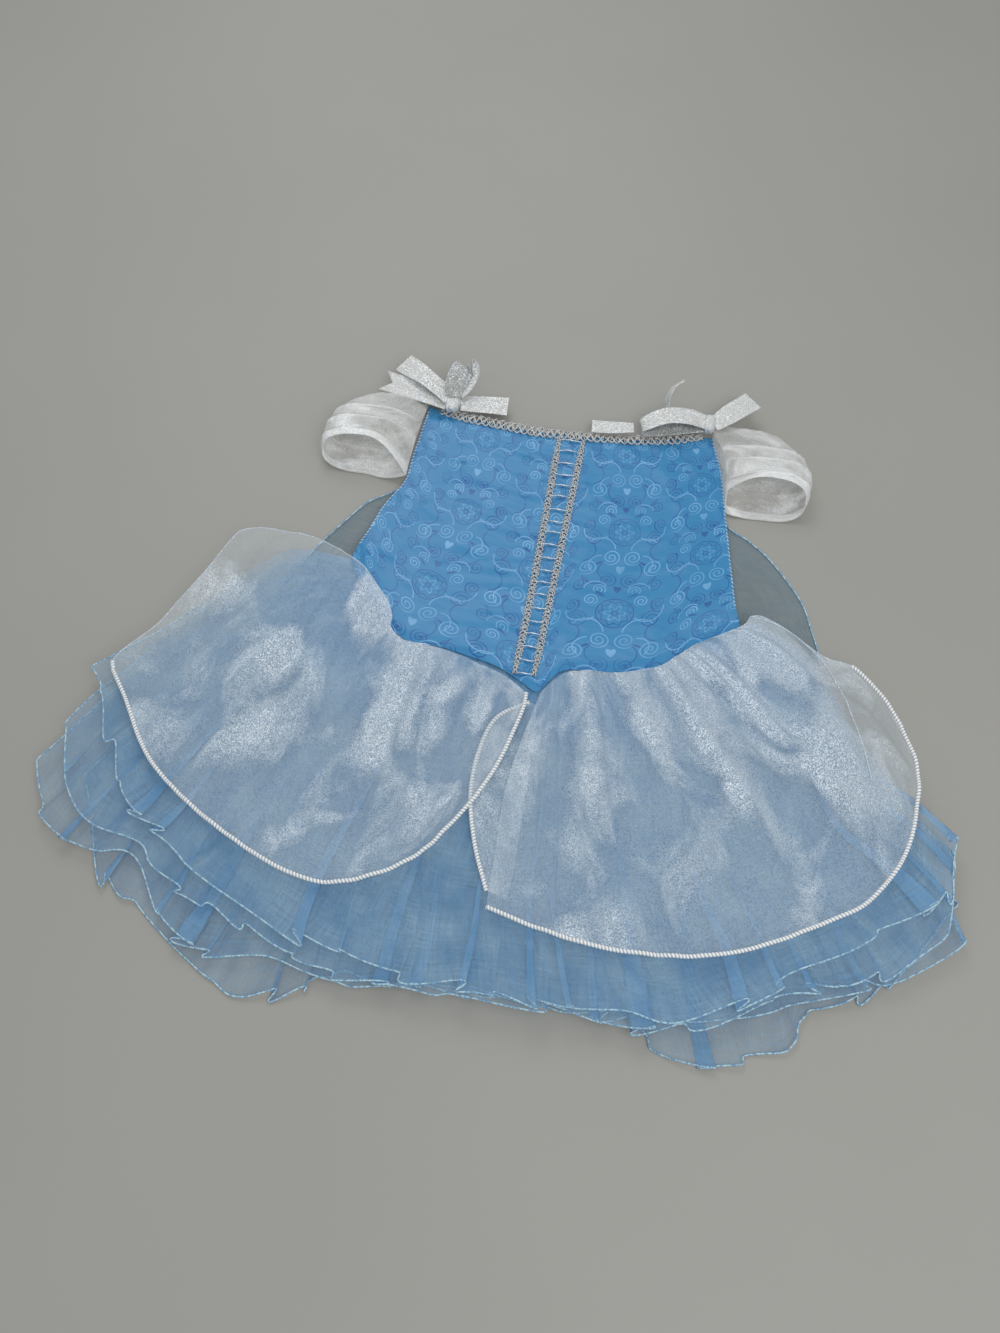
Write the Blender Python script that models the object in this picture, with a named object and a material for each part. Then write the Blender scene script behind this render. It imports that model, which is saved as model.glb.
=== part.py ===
"""Child's costume dress, laid flat on a table with its front up.

Every number is in millimetres until an object is made. X runs across the dress,
Y from the hem to the neckline and Z up from the table. The tables are drawn about
the point of the waist's V, and the whole dress is then moved to its own middle.
"""
import math

import bmesh
import bpy
import numpy as np

MM = 0.001
MIDDLE_X = -8.5              # middle of the whole dress in the tables' frame
MIDDLE_Y = 24.0

CLOTH = 1.0                  # sheer cloth, as thin as these solids go
PETAL_CLOTH = 1.2
BODICE_CLOTH = 1.5
RIBBON = 1.0
SEAT = 0.9                   # what lies on a panel stands this far clear of it
TUCK = 3.0                   # underskirt goes this far under the bodice's edge

WAIST_LEFT, WAIST_RIGHT = -105.0, 122.0   # ends of the line that the skirt spreads from
WAIST_Y = 62.0
SKIRT_REACH = 290.0          # from that line to the hem
BIG_FOLD = 4.0               # height of the broad folds at the hem
BIG_FOLDS = 7.0              # broad folds in one turn

# Borders of the panels, each a line of corners: x, y
NECKLINE = [(-123, 257), (-107, 251), (-86, 246), (-60, 243), (-26, 240), (1, 240),
            (34, 242), (67, 246), (100, 254), (118, 258)]
BODICE_LEFT = [(-123, 257), (-125, 226), (-127, 199), (-129, 172), (-140, 149),
               (-146, 128), (-151, 107), (-154, 85)]
BODICE_RIGHT = [(118, 258), (128, 222), (135, 174), (141, 133), (145, 105),
                (147, 88), (151, 70)]
FRONT_WAIST = [(-154, 85), (-140, 62), (-122, 40), (-98, 21), (-71, 19), (-47, 14),
               (-24, 7), (-7, -2), (5, -9), (10, -4), (21, 11), (35, 15), (65, 17),
               (94, 27), (121, 52), (151, 70)]
BACK_NECKLINE = [(-120, 246), (-60, 237), (0, 235), (60, 239), (116, 248)]
BACK_LEFT = [(-120, 246), (-124, 205), (-127, 172), (-138, 149), (-148, 107), (-150, 75)]
BACK_RIGHT = [(116, 248), (126, 222), (133, 174), (142, 110), (147, 74)]
BACK_WAIST = [(-150, 75), (-90, 71), (0, 70), (90, 71), (147, 74)]

CAPE_TOP = [(-104, 230), (0, 226), (106, 230)]
CAPE_LEFT = [(-104, 230), (-118, 183), (-134, 166), (-155, 150), (-169, 129),
             (-181, 109), (-190, 92), (-194, 80)]
CAPE_RIGHT = [(106, 230), (126, 186), (140, 167), (153, 159), (172, 142), (197, 107),
              (206, 81), (211, 64), (213, 51)]
CAPE_BOTTOM = [(-194, 80), (-60, 62), (60, 58), (213, 51)]

PETAL_LEFT_TOP = [(-229, 102), (-209, 101), (-190, 100), (-171, 94), (-154, 86),
                  (-141, 78), (-126, 60), (-117, 50), (-111, 38), (-110, 28),
                  (-98, 19), (-81, 17), (-62, 14), (-42, 8), (-25, 2), (-11, -5),
                  (-1, -13)]
PETAL_LEFT_SIDE = [(-229, 102), (-241, 97), (-247, 89), (-263, 46), (-282, 2),
                   (-304, -31), (-303, -43)]
PETAL_LEFT_HEM = [(-303, -43), (-285, -67), (-265, -97), (-244, -119), (-208, -144),
                  (-167, -165), (-137, -176), (-109, -178), (-78, -166), (-54, -148),
                  (-38, -125), (-24, -101)]
PETAL_LEFT_CENTRE = [(-1, -13), (-1, -26), (-5, -46), (-12, -73), (-24, -101)]

PETAL_RIGHT_TOP = [(9, -11), (16, 0), (25, 10), (39, 13.7), (54, 14.7), (68, 16.3), (83, 22),
                   (95, 26.5), (107, 38.5), (118, 49), (127, 55), (139, 61.6), (153, 69),
                   (158, 79)]
PETAL_RIGHT_SIDE = [(158, 79), (167, 80), (186, 70), (201, 60), (215, 51), (235, 46),
                    (254, 25), (268, 1)]
PETAL_RIGHT_HEM = [(-4, -180), (26, -188), (73, -195), (130, -192), (174, -179),
                   (219, -155), (244, -138), (268, -102), (278, -60), (278, -30),
                   (268, 1)]
PETAL_RIGHT_CENTRE = [(9, -12), (6, -30), (-1, -70), (-4, -108), (-3, -151), (-4, -180)]

TURN_TOP = [(2, -19), (8, -21)]
TURN_LEFT = [(2, -19), (-20, -36), (-28, -66), (-28, -100), (-19, -136), (-6, -168)]
TURN_RIGHT = [(8, -21), (9, -45), (10, -80), (10, -120), (10, -150), (8, -172)]
TURN_HEM = [(-6, -168), (8, -172)]

# Underskirt, from the table up. Sides and hems are borders like those above.
SKIRTS = {
    "underskirt_back_outer": dict(
        waist=BACK_WAIST, drop=1.2, low=(1.4, 0.0), wave=2.9, broad=0.0,
        pleats=18, uneven=0.55, phase=0.15, rows=(0, .2, .38, .56, .78, 1),
        left=[(-150, 75), (-190, 60), (-232, 12), (-275, -70), (-302, -131)],
        right=[(147, 74), (190, 52), (236, -8), (280, -80), (310, -122)],
        hem=[(-302, -131), (-275, -181), (-253, -203), (-237, -207), (-193, -238),
             (-173, -249), (-150, -255), (-115, -247), (-101, -236), (-20, -230),
             (78, -229), (105, -238), (118, -248), (147, -256), (191, -242),
             (201, -233), (208, -214), (244, -196), (282, -165), (310, -122)]),
    "underskirt_back_inner": dict(
        waist=BACK_WAIST, drop=1.2, low=(2.8, 5.0), wave=2.6, broad=0.2,
        pleats=20, uneven=0.5, phase=0.62, rows=(0, .33, .68, 1),
        left=[(-150, 75), (-194, 70), (-240, 30), (-300, -58), (-335, -121)],
        right=[(147, 74), (192, 58), (238, -4), (288, -84), (318, -140)],
        hem=[(-335, -121), (-318, -157), (-298, -173), (-253, -180), (-216, -216),
             (-183, -232), (-132, -229), (-90, -237), (-19, -234), (59, -235),
             (142, -229), (204, -211), (242, -191), (270, -185), (303, -159),
             (318, -140)]),
    "underskirt_front_inner": dict(
        waist=FRONT_WAIST, drop=-TUCK, low=(4.3, 9.4), wave=2.6, broad=0.5,
        pleats=24, uneven=0.5, phase=0.33, rows=(0, .3, .66, 1),
        left=[(-152, 85), (-196, 82), (-240, 40), (-292, -38), (-325, -98)],
        right=[(149, 72), (188, 62), (232, 8), (272, -50), (304, -86)],
        hem=[(-325, -98), (-305, -138), (-283, -160), (-242, -170), (-211, -197),
             (-163, -214), (-119, -228), (-78, -237), (-17, -238), (56, -239),
             (104, -240), (152, -227), (203, -202), (242, -189), (288, -160),
             (300, -126), (304, -86)]),
    "underskirt_front_outer": dict(
        waist=FRONT_WAIST, drop=-TUCK, low=(5.8, 13.8), wave=3.0, broad=0.8,
        pleats=30, uneven=0.45, phase=0.8, rows=(0, .22, .48, .75, 1),
        left=[(-152, 85), (-165, 89), (-199, 89), (-219, 73), (-239, 51), (-269, 9),
              (-302, -27), (-317, -42)],
        right=[(149, 72), (165, 77), (188, 66), (208, 50), (229, 14), (248, -32),
               (278, -52), (304, -72)],
        hem=[(-317, -42), (-291, -95), (-265, -138), (-230, -162), (-200, -186),
             (-160, -205), (-123, -217), (-91, -222), (-52, -231), (-13, -234),
             (27, -237), (59, -234), (93, -232), (121, -230), (174, -214),
             (208, -187), (257, -155), (293, -126), (302, -106), (304, -72)]),
}
PETAL_LOW = (7.4, 19.6)      # petals' underside at the waist and at the hem
TURN_LOW = (7.2, 17.6)

# Largest folds of the petals: from x, y to x, y, height, width to its left and right
PETAL_LEFT_FOLDS = [
    (-165, 92, -262, 20, 6.0, 26, 26),
    (-128, 56, -200, -40, 9.0, 22, 20),
    (-150, 0, -205, -96, 4.0, 14, 18),
    (-84, 12, -120, -120, 5.0, 13, 16),
    (-58, 8, -62, -96, 4.0, 10, 12),
    (-28, -2, -34, -70, 3.5, 9, 9),
]
PETAL_RIGHT_FOLDS = [
    (150, 74, 206, 24, 9.0, 30, 13),
    (206, 24, 244, -66, 9.0, 30, 13),
    (44, 10, 58, -120, 5.0, 14, 12),
    (72, 14, 110, -60, 5.0, 13, 13),
    (100, 28, 176, -96, 6.0, 16, 16),
    (14, -14, 6, -120, 4.0, 10, 13),
    (120, 44, 200, -30, 4.5, 14, 12),
]

# Sleeves: stations from the gathered shoulder to the cuff:
# y, x of the outer fold, height, how far the front wall stands back from the back wall
LEFT_SLEEVE = [(262, -166, 5.0, 0.0), (255, -180, 8.5, 0.5), (247, -188, 12.0, 1.5),
               (245, -187, 12.5, 1.5), (236, -195, 17.0, 3.0), (228, -198, 20.0, 4.5),
               (226, -196, 20.5, 4.5), (216, -201, 24.0, 6.5), (206, -202, 26.5, 8.0),
               (204, -199, 26.0, 8.0), (195, -202, 28.5, 8.5), (187, -200, 28.0, 9.0)]
RIGHT_SLEEVE = [(269, 162, 5.0, 0.0), (263, 175, 8.0, 0.5), (254, 182, 12.0, 1.5),
                (252, 181, 12.5, 1.5), (243, 190, 17.0, 3.5), (233, 194, 20.5, 5.5),
                (231, 192, 20.5, 5.5), (221, 198, 24.0, 8.0), (210, 200, 26.5, 10.0),
                (208, 196, 26.0, 10.0), (198, 198, 28.5, 11.0), (190, 196, 28.0, 11.5)]
SLEEVE_POINTS = 16
SLEEVE_WALL = 1.3
SLEEVE_CLEAR = 0.2           # sleeve's inner fold to the bodice's side

# Front trim: rails' centres down the front: y of row, x of left rail, x of right rail
LACING = [(234.0, -8.6, 11.6), (144.0, -9.2, 8.0), (67.0, -10.2, 4.8), (3.0, -12.2, 2.0)]
LACING_RUNGS = 20
RAIL_WIDTH = 4.4
RUNG_WIDTH = 2.2
TRIM_THICK = 1.6
BRAID = [(-112, 251.5), (-87, 246), (-60, 242.7), (-26, 239.3), (1, 239.2),
         (34, 241.2), (67, 245.3), (100, 253.6), (110, 256)]
BRAID_HALF = 4.2
BRAID_LOOPS = 30

# Ribbon pieces: x, y, z of the centre line, then the ribbon's cross direction and
# its half width there
RIBBONS = {
    "bow_left_tail_side": [(-112, 257, 12.8, .25, -.97, 0, 5.5),
                           (-138, 265, 13.2, .36, -.93, -.08, 9),
                           (-166, 272, 13.4, .50, -.86, -.10, 10)],
    "bow_left_tail_upper": [(-112, 264, 15.6, .45, -.89, 0, 6.5),
                            (-131, 278, 17.4, .48, -.87, .05, 9.5),
                            (-152, 292, 16.0, .42, -.90, 0, 10)],
    "bow_left_loop": [(-104, 259, 20.4, .62, -.78, 0, 4),
                      (-109, 265, 24.5, .68, -.73, 0, 8),
                      (-105, 275, 28.5, .70, -.71, 0, 9.5),
                      (-95, 276, 29.0, .72, -.69, 0, 9.5),
                      (-88, 268, 25.0, .60, -.80, .05, 8.5),
                      (-96, 257, 19.2, .35, -.93, 0, 4.5)],
    "bow_left_tail_inner": [(-93.6, 258, 11.0, .05, -.99, 0, 6.5),
                            (-76, 260, 10.4, .03, -.99, .05, 9.5),
                            (-56, 261, 10.2, .06, -.99, 0, 10)],
    "bow_right_tail_outer": [(124.0, 267.6, 13.4, .70, -.71, 0, 6.5),
                             (134.5, 280.5, 15.4, .72, -.69, 0, 9.5),
                             (148, 295, 15.0, .62, -.78, 0, 10)],
    "bow_right_loop": [(108.5, 266, 14.5, 0, -1, 0, 7.5),
                       (96, 266, 18.5, 0, -1, .12, 9.5),
                       (78, 263, 19.5, .05, -1, .15, 10),
                       (62, 255, 16.5, .15, -1, .1, 8),
                       (59, 252, 12.5, .15, -1, 0, 7),
                       (66, 255, 10.2, .10, -1, 0, 7.5),
                       (86, 261, 10.0, .05, -1, 0, 9),
                       (108.5, 265, 10.8, 0, -1, 0, 6)],
    "bow_right_tail_rising": [(77, 277.2, 13.4, .35, -.45, .82, 5),
                              (77, 282.8, 20.0, .35, -.45, .82, 5.5),
                              (81, 289, 27.0, .38, -.45, .80, 5.5),
                              (89, 293.5, 31.5, .45, -.45, .76, 5)],
    "bow_right_end_folded": [(17, 249.8, 10.8, .20, -.97, 0, 6.5),
                             (34, 250.7, 11.5, .05, -.97, .1, 7),
                             (52, 253.2, 11.0, .05, -.97, 0, 5)],
}
TAIL_NOTCH = {"bow_left_tail_side": 9.0}
# Bow knots: centre and half sizes
KNOTS = {"bow_left_knot": ((-102.5, 256.5, 12.3), (8.6, 8.6, 4.6)),
         "bow_right_knot": ((114.3, 265.5, 12.6), (4.8, 8.6, 4.6))}

# Looks: red, green, blue, roughness, metallic
LOOKS = {
    "cape": (.34, .52, .60, .75, 0), "bodice": (.09, .30, .60, .38, 0),
    "underskirt": (.22, .42, .62, .80, 0), "petal": (.72, .80, .88, .55, 0),
    "sleeve": (.86, .87, .86, .55, 0), "neck": (.62, .64, .66, .32, 1),
    "front": (.66, .67, .68, .32, 1), "bow": (.74, .74, .72, .38, .6),
}


def smooth_line(corners, count):
    """Soft curve through the corners, read at count + 1 equal steps of its length."""
    corners = np.array(corners, float)
    ends = np.vstack([2 * corners[0] - corners[1], corners, 2 * corners[-1] - corners[-2]])
    part = np.linspace(0, 1, 9)[:-1, None]
    pieces = []
    for a, b, c, d in zip(ends, ends[1:], ends[2:], ends[3:]):
        pieces.append(0.5 * (2 * b + (c - a) * part + (2 * a - 5 * b + 4 * c - d) * part ** 2
                             + (3 * b - a - 3 * c + d) * part ** 3))
    line = np.vstack(pieces + [corners[-1:]])
    run = np.concatenate([[0], np.cumsum(np.linalg.norm(np.diff(line, axis=0), axis=1))])
    steps = np.asarray(count, float) if np.ndim(count) else np.linspace(0, 1, count + 1)
    return np.column_stack([np.interp(steps * run[-1], run, axis) for axis in line.T])


def panel(top, left, right, hem, down, across):
    """Plan of a panel stretched between its four borders."""
    u, v = np.asarray(across, float), np.asarray(down, float)
    t, b = smooth_line(top, u), smooth_line(hem, u)
    l, r = smooth_line(left, v), smooth_line(right, v)
    u, v = u[None, :, None], v[:, None, None]
    blend = ((1 - v) * t[None] + v * b[None] + (1 - u) * l[:, None] + u * r[:, None])
    corners = ((1 - u) * (1 - v) * t[0] + u * (1 - v) * t[-1]
               + (1 - u) * v * b[0] + u * v * b[-1])
    return blend - corners


def reach(x, y):
    """Share of the way from the waist line to the hem."""
    off = np.maximum(0, np.maximum(WAIST_LEFT - x, x - WAIST_RIGHT))
    return np.hypot(off, np.minimum(y - WAIST_Y, 0) + 0.4 * np.maximum(y - WAIST_Y, 0)) / SKIRT_REACH


def broad_folds(x, y):
    """Broad folds that every layer shares, from nothing at the waist."""
    turn = np.arctan2(x - 5, 110 - y)
    return BIG_FOLD * reach(x, y) * (0.5 + 0.5 * np.cos(BIG_FOLDS * turn + 0.7 * np.sin(2 * turn)))


def level(low, x, y):
    return low[0] + (low[1] - low[0]) * reach(x, y)


def pleat_columns(count, uneven, phase):
    """Places and heights of the columns: trough, crest and shoulder of each pleat."""
    u = np.linspace(0, 1, 2001)
    turn = count * u + uneven * (np.sin(2 * math.pi * (2.3 * u + phase))
                                 + 0.6 * np.sin(2 * math.pi * (5.1 * u + 2.7 * phase)))
    turn = (turn - turn[0]) / (turn[-1] - turn[0]) * count
    marks = np.sort(np.concatenate([np.arange(count + 1), np.arange(count) + 0.42,
                                    np.arange(count) + 0.74]))
    heights = np.interp(marks % 1, [0, 0.42, 0.74, 1], [0, 1, 0.72, 0])
    return np.interp(marks, turn, u), heights


def at_side(corners, y):
    """x of a side border at height y."""
    line = np.array(sorted((b, a) for a, b in corners))
    return np.interp(y, line[:, 0], line[:, 1])


def waist_at(x):
    line = np.array(FRONT_WAIST, float)
    return np.interp(x, line[:, 0], line[:, 1])


def bodice_low(x, y):
    """Underside of the front: a low crown that rises to the skirt at the waist."""
    left, right = at_side(BODICE_LEFT, y), at_side(BODICE_RIGHT, y)
    across = np.clip((2 * x - left - right) / (right - left), -1, 1)
    crown = 2.9 + 3.0 * (1 - across ** 2) + 0.35 * (1 - across ** 4) * np.sin(y / 6.8 + x / 60)
    near = np.clip(1 - (y - waist_at(x)) / 46, 0, 1)
    near = near * near * (3 - 2 * near)
    return crown * (1 - near) + level(PETAL_LOW, x, y) * near


def fold_heights(x, y, folds):
    """Soft ridges along straight runs, steeper on one side where the table says so."""
    total = np.zeros_like(x)
    for x0, y0, x1, y1, height, wide_left, wide_right in folds:
        run = np.array([x1 - x0, y1 - y0], float)
        length = np.hypot(*run)
        run /= length
        along = ((x - x0) * run[0] + (y - y0) * run[1]) / length
        side = (x - x0) * run[1] - (y - y0) * run[0]
        wide = np.where(side > 0, wide_left, wide_right)
        ends = np.clip(1.15 - np.abs(along - 0.5) * 1.55, 0, 1)
        total = np.maximum(total, height * ends * np.exp(-(side / wide) ** 2))
    return total


def material_for(name):
    look = LOOKS[name.split("_")[0]]
    material = bpy.data.materials.new(name)
    material.use_nodes = True
    shader = material.node_tree.nodes["Principled BSDF"]
    shader.inputs["Base Color"].default_value = (*look[:3], 1)
    shader.inputs["Roughness"].default_value = look[3]
    shader.inputs["Metallic"].default_value = look[4]
    return material


def add_object(name, points, faces):
    """Closed body in metres, moved to the dress's own middle."""
    points = (np.asarray(points, float) - [MIDDLE_X, MIDDLE_Y, 0]) * MM
    mesh = bpy.data.meshes.new(name)
    mesh.from_pydata(points.tolist(), [], faces)
    work = bmesh.new()
    work.from_mesh(mesh)
    bmesh.ops.recalc_face_normals(work, faces=work.faces)
    work.to_mesh(mesh)
    work.free()
    mesh.shade_smooth()
    mesh.set_sharp_from_angle(angle=math.radians(40))
    mesh.materials.append(material_for(name))
    item = bpy.data.objects.new(name, mesh)
    bpy.context.scene.collection.objects.link(item)
    return item


def wall(name, top, under, keep=None):
    """Wall between two grids of points; keep marks the cells that hold cloth."""
    rows, columns = top.shape[:2]
    if keep is None:
        keep = np.ones((rows - 1, columns - 1), bool)
    count = rows * columns
    used = {}
    points, faces = [], []
    both = np.concatenate([top.reshape(-1, 3), under.reshape(-1, 3)])

    def corner(index):
        if index not in used:
            used[index] = len(points)
            points.append(both[index])
        return used[index]

    padded = np.pad(keep, 1)
    for i, j in zip(*np.nonzero(keep)):
        a, b = i * columns + j, (i + 1) * columns + j
        c, d = b + 1, a + 1
        faces.append([corner(k) for k in (a, b, c, d)])
        faces.append([corner(k + count) for k in (d, c, b, a)])
        for open_side, first, last in ((not padded[i, j + 1], d, a), (not padded[i + 2, j + 1], b, c),
                                       (not padded[i + 1, j], a, b), (not padded[i + 1, j + 2], c, d)):
            if open_side:
                faces.append([corner(k) for k in (first, first + count, last + count, last)])
    return add_object(name, points, faces)


def flat_wall(name, plan, low, thick):
    """Wall whose underside is at low over each point of a plan."""
    under = np.dstack([plan, low])
    top = under.copy()
    top[..., 2] += thick
    return wall(name, top, under)


def even(count):
    return np.linspace(0, 1, count + 1)


def make_cape():
    plan = panel(CAPE_TOP, CAPE_LEFT, CAPE_RIGHT, CAPE_BOTTOM, even(12), even(6))
    flat_wall("cape", plan, np.zeros(plan.shape[:2]), CLOTH)


def make_bodice():
    plan = panel(BACK_NECKLINE, BACK_LEFT, BACK_RIGHT, BACK_WAIST, even(7), even(6))
    flat_wall("bodice_back", plan, np.full(plan.shape[:2], CLOTH + 0.3), 1.2)
    plan = panel(NECKLINE, BODICE_LEFT, BODICE_RIGHT, FRONT_WAIST, even(22), even(14))
    flat_wall("bodice_front", plan, bodice_low(plan[..., 0], plan[..., 1]), BODICE_CLOTH)


def make_underskirt():
    """Two gathered tubes of sheer cloth, each lying with its front on its back."""
    for name, cut in SKIRTS.items():
        across, heights = pleat_columns(cut["pleats"], cut["uneven"], cut["phase"])
        waist = [(x, y - cut["drop"]) for x, y in cut["waist"]]
        left = [waist[0]] + cut["left"][1:]
        right = [waist[-1]] + cut["right"][1:]
        plan = panel(waist, left, right, cut["hem"], cut["rows"], across)
        x, y = plan[..., 0], plan[..., 1]
        share = reach(x, y)
        if cut["broad"] == 0:
            low = cut["low"][0] * np.clip((150 - share * SKIRT_REACH) / 45, 0, 1)
        else:
            low = level(cut["low"], x, y) + cut["broad"] * broad_folds(x, y)
        low = low + cut["wave"] * np.minimum(share, 1) ** 1.5 * heights[None, :]
        flat_wall(name, plan, low, CLOTH)


def petal(name, top, left, right, hem, folds, gathers, phase, rows):
    """Overskirt petal: gathered at the waist, puffed just below it, thick at the rim."""
    across, heights = pleat_columns(gathers, 0.3, phase)
    plan = panel(top, left, right, hem, rows, across)
    x, y = plan[..., 0], plan[..., 1]
    down = np.asarray(rows)[:, None]
    low = level(PETAL_LOW, x, y) + broad_folds(x, y) + fold_heights(x, y, folds)
    low = low + 3.4 * np.exp(-((down - 0.17) / 0.15) ** 2) * (0.45 + 0.55 * heights[None, :])
    low = low + 1.6 * heights[None, :] * down
    return plan, low


def make_petals():
    rows = (0, .07, .17, .32, .52, .76, .965, 1)
    plan, low = petal("petal_left", PETAL_LEFT_TOP, PETAL_LEFT_SIDE, PETAL_LEFT_CENTRE,
                      PETAL_LEFT_HEM, PETAL_LEFT_FOLDS, 13, 0.2, rows)
    x, y = plan[..., 0], plan[..., 1]
    ear = np.exp(-(np.hypot(x + 134, y - 62) / 40) ** 4)
    low = np.maximum(low, np.where(ear > 0.02, bodice_low(x, y) + BODICE_CLOTH + 1.2, 0) * (ear > 0.3))
    low = low + 2.5 * ear
    flat_wall("petal_left", plan, low + 0.8, PETAL_CLOTH)
    plan, low = petal("petal_right", PETAL_RIGHT_TOP, PETAL_RIGHT_CENTRE, PETAL_RIGHT_SIDE,
                      PETAL_RIGHT_HEM, PETAL_RIGHT_FOLDS, 14, 0.55, rows)
    flat_wall("petal_right", plan, low + 1.0, PETAL_CLOTH)
    plan = panel(TURN_TOP, TURN_LEFT, TURN_RIGHT, TURN_HEM, even(8), even(2))
    x, y = plan[..., 0], plan[..., 1]
    flat_wall("petal_right_turned_edge", plan, level(TURN_LOW, x, y) + broad_folds(x, y), CLOTH)


def sleeve_ring(y, outer, high, back, inner, inset):
    """One slice of the sleeve: a flattened ring, its front wall set back by back."""
    turn = np.arange(SLEEVE_POINTS) * 2 * math.pi / SLEEVE_POINTS
    cos, sin = np.cos(turn), np.sin(turn)
    wide = np.sign(cos) * np.abs(cos) ** 0.75
    tall = np.sign(sin) * np.abs(sin) ** 0.85
    half = abs(outer - inner) / 2 - inset
    rise = high / 2 - inset
    return np.column_stack([(outer + inner) / 2 + math.copysign(half, outer) * wide,
                            y + back * tall, high / 2 + rise * tall])


def make_sleeve(name, stations, side):
    rings = []
    for y, outer, high, back in stations:
        inner = at_side(side, y) + math.copysign(SLEEVE_CLEAR, outer)
        rings.append(sleeve_ring(y, outer, high, back, inner, 0))
    for y, outer, high, back in reversed(stations):
        inner = at_side(side, y) + math.copysign(SLEEVE_CLEAR, outer)
        closed = SLEEVE_WALL if y == stations[0][0] else 0
        rings.append(sleeve_ring(y - closed, outer, high, back, inner, SLEEVE_WALL))
    points = np.vstack(rings)
    n = SLEEVE_POINTS
    faces = [list(range(n)), list(range(len(points) - n, len(points)))]
    for k in range(len(rings) - 1):
        for i in range(n):
            j = (i + 1) % n
            faces.append([k * n + i, k * n + j, (k + 1) * n + j, (k + 1) * n + i])
    add_object(name, points, faces)


def make_neck_braid():
    """Looped braid along the neckline: its edges swing out once a loop."""
    steps = 2 * BRAID_LOOPS
    line = smooth_line(BRAID, steps)
    along = np.gradient(line, axis=0)
    along /= np.linalg.norm(along, axis=1)[:, None]
    across = np.column_stack([-along[:, 1], along[:, 0]])
    swing = np.where(np.arange(steps + 1) % 2, 1.0, 0.0)
    t = np.linspace(-1, 1, steps + 1)
    half = BRAID_HALF * (0.55 + 0.45 * np.clip((1 - np.abs(t)) * 3, 0, 1))
    top, under = [], []
    for k, offset in enumerate((1, 0, -1)):
        spot = line + across * (offset * (half - 0.9 * (swing if k < 2 else 1 - swing)))[:, None]
        base = bodice_low(spot[:, 0], spot[:, 1]) + BODICE_CLOTH + SEAT
        crest = TRIM_THICK * (0.75 + 0.4 * (k == 1)) + 0.25 * swing
        under.append(np.column_stack([spot, base]))
        top.append(np.column_stack([spot, base + crest]))
    wall("neck_braid", np.stack(top), np.stack(under))


def make_front_lacing():
    """Two rails and the rungs between them in one body, open between the rungs."""
    rows = np.array(LACING)
    start, end = rows[0, 0], rows[-1, 0]
    pitch = (start - end - RUNG_WIDTH) / (LACING_RUNGS - 1)
    ys, rung = [], []
    for k in range(LACING_RUNGS):
        ys += [start - k * pitch, start - k * pitch - RUNG_WIDTH]
        rung += [True, False]
    ys, rung = np.array(ys), np.array(rung[:-1])
    left = np.interp(-ys, -rows[:, 0], rows[:, 1])
    right = np.interp(-ys, -rows[:, 0], rows[:, 2])
    half = RAIL_WIDTH / 2
    x = np.stack([left - half, left + half, right - half, right + half], axis=1)
    y = np.repeat(ys[:, None], 4, axis=1)
    base = bodice_low(x, y) + BODICE_CLOTH + SEAT
    under = np.dstack([x, y, base])
    top = under.copy()
    top[..., 2] += TRIM_THICK
    keep = np.stack([np.ones_like(rung), rung, np.ones_like(rung)], axis=1)
    wall("front_lacing", top, under, keep)


def make_ribbon(name, table):
    """Ribbon swept along its centre line, with a swallow tail where one is listed."""
    path = smooth_line(table, 3 * (len(table) - 1) + 2)
    centre, cross, half = path[:, :3], path[:, 3:6], path[:, 6]
    along = np.gradient(centre, axis=0)
    along /= np.linalg.norm(along, axis=1)[:, None]
    cross = cross - along * np.sum(cross * along, axis=1)[:, None]
    cross /= np.linalg.norm(cross, axis=1)[:, None]
    normal = np.cross(along, cross)
    middle = centre.copy()
    middle[-1] -= along[-1] * TAIL_NOTCH.get(name, 0)
    grid = np.stack([centre - cross * half[:, None], middle, centre + cross * half[:, None]], axis=1)
    away = normal[:, None, :] * RIBBON / 2
    wall(name, grid + away, grid - away)


def make_knot(name, centre, half):
    """Soft block, rounder than a box, where the ribbon crosses itself."""
    points, faces = [], []
    around, up = 10, 6
    for i in range(1, up):
        tilt = math.pi * i / up - math.pi / 2
        for j in range(around):
            turn = 2 * math.pi * j / around
            ring = abs(math.cos(tilt)) ** 0.6
            c, s = math.cos(turn), math.sin(turn)
            points.append((centre[0] + half[0] * ring * math.copysign(abs(c) ** 0.7, c),
                           centre[1] + half[1] * ring * math.copysign(abs(s) ** 0.7, s),
                           centre[2] + half[2] * math.copysign(abs(math.sin(tilt)) ** 0.7, tilt)))
    rings = up - 1
    for i in range(rings - 1):
        for j in range(around):
            k = (j + 1) % around
            faces.append([i * around + j, i * around + k, (i + 1) * around + k, (i + 1) * around + j])
    faces += [list(range(around)), list(range((rings - 1) * around, rings * around))]
    add_object(name, points, faces)


def main():
    for item in list(bpy.data.objects):
        bpy.data.objects.remove(item, do_unlink=True)
    make_cape()
    make_bodice()
    make_underskirt()
    make_petals()
    make_sleeve("sleeve_left", LEFT_SLEEVE, BODICE_LEFT)
    make_sleeve("sleeve_right", RIGHT_SLEEVE, BODICE_RIGHT)
    make_neck_braid()
    make_front_lacing()
    for name, table in RIBBONS.items():
        make_ribbon(name, table)
    for name, (centre, half) in KNOTS.items():
        make_knot(name, centre, half)


main()
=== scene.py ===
"""Child's costume dress, laid flat with its front up: the cloth, trims and bows that show.

Lines and panels are worked out in millimetres about the point of the waist's V, as in the
part's source, and each piece is moved to the dress's own middle when its mesh is made.
X runs across the dress, Y from the hem to the neckline and Z up from the table.
"""
import math

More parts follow.
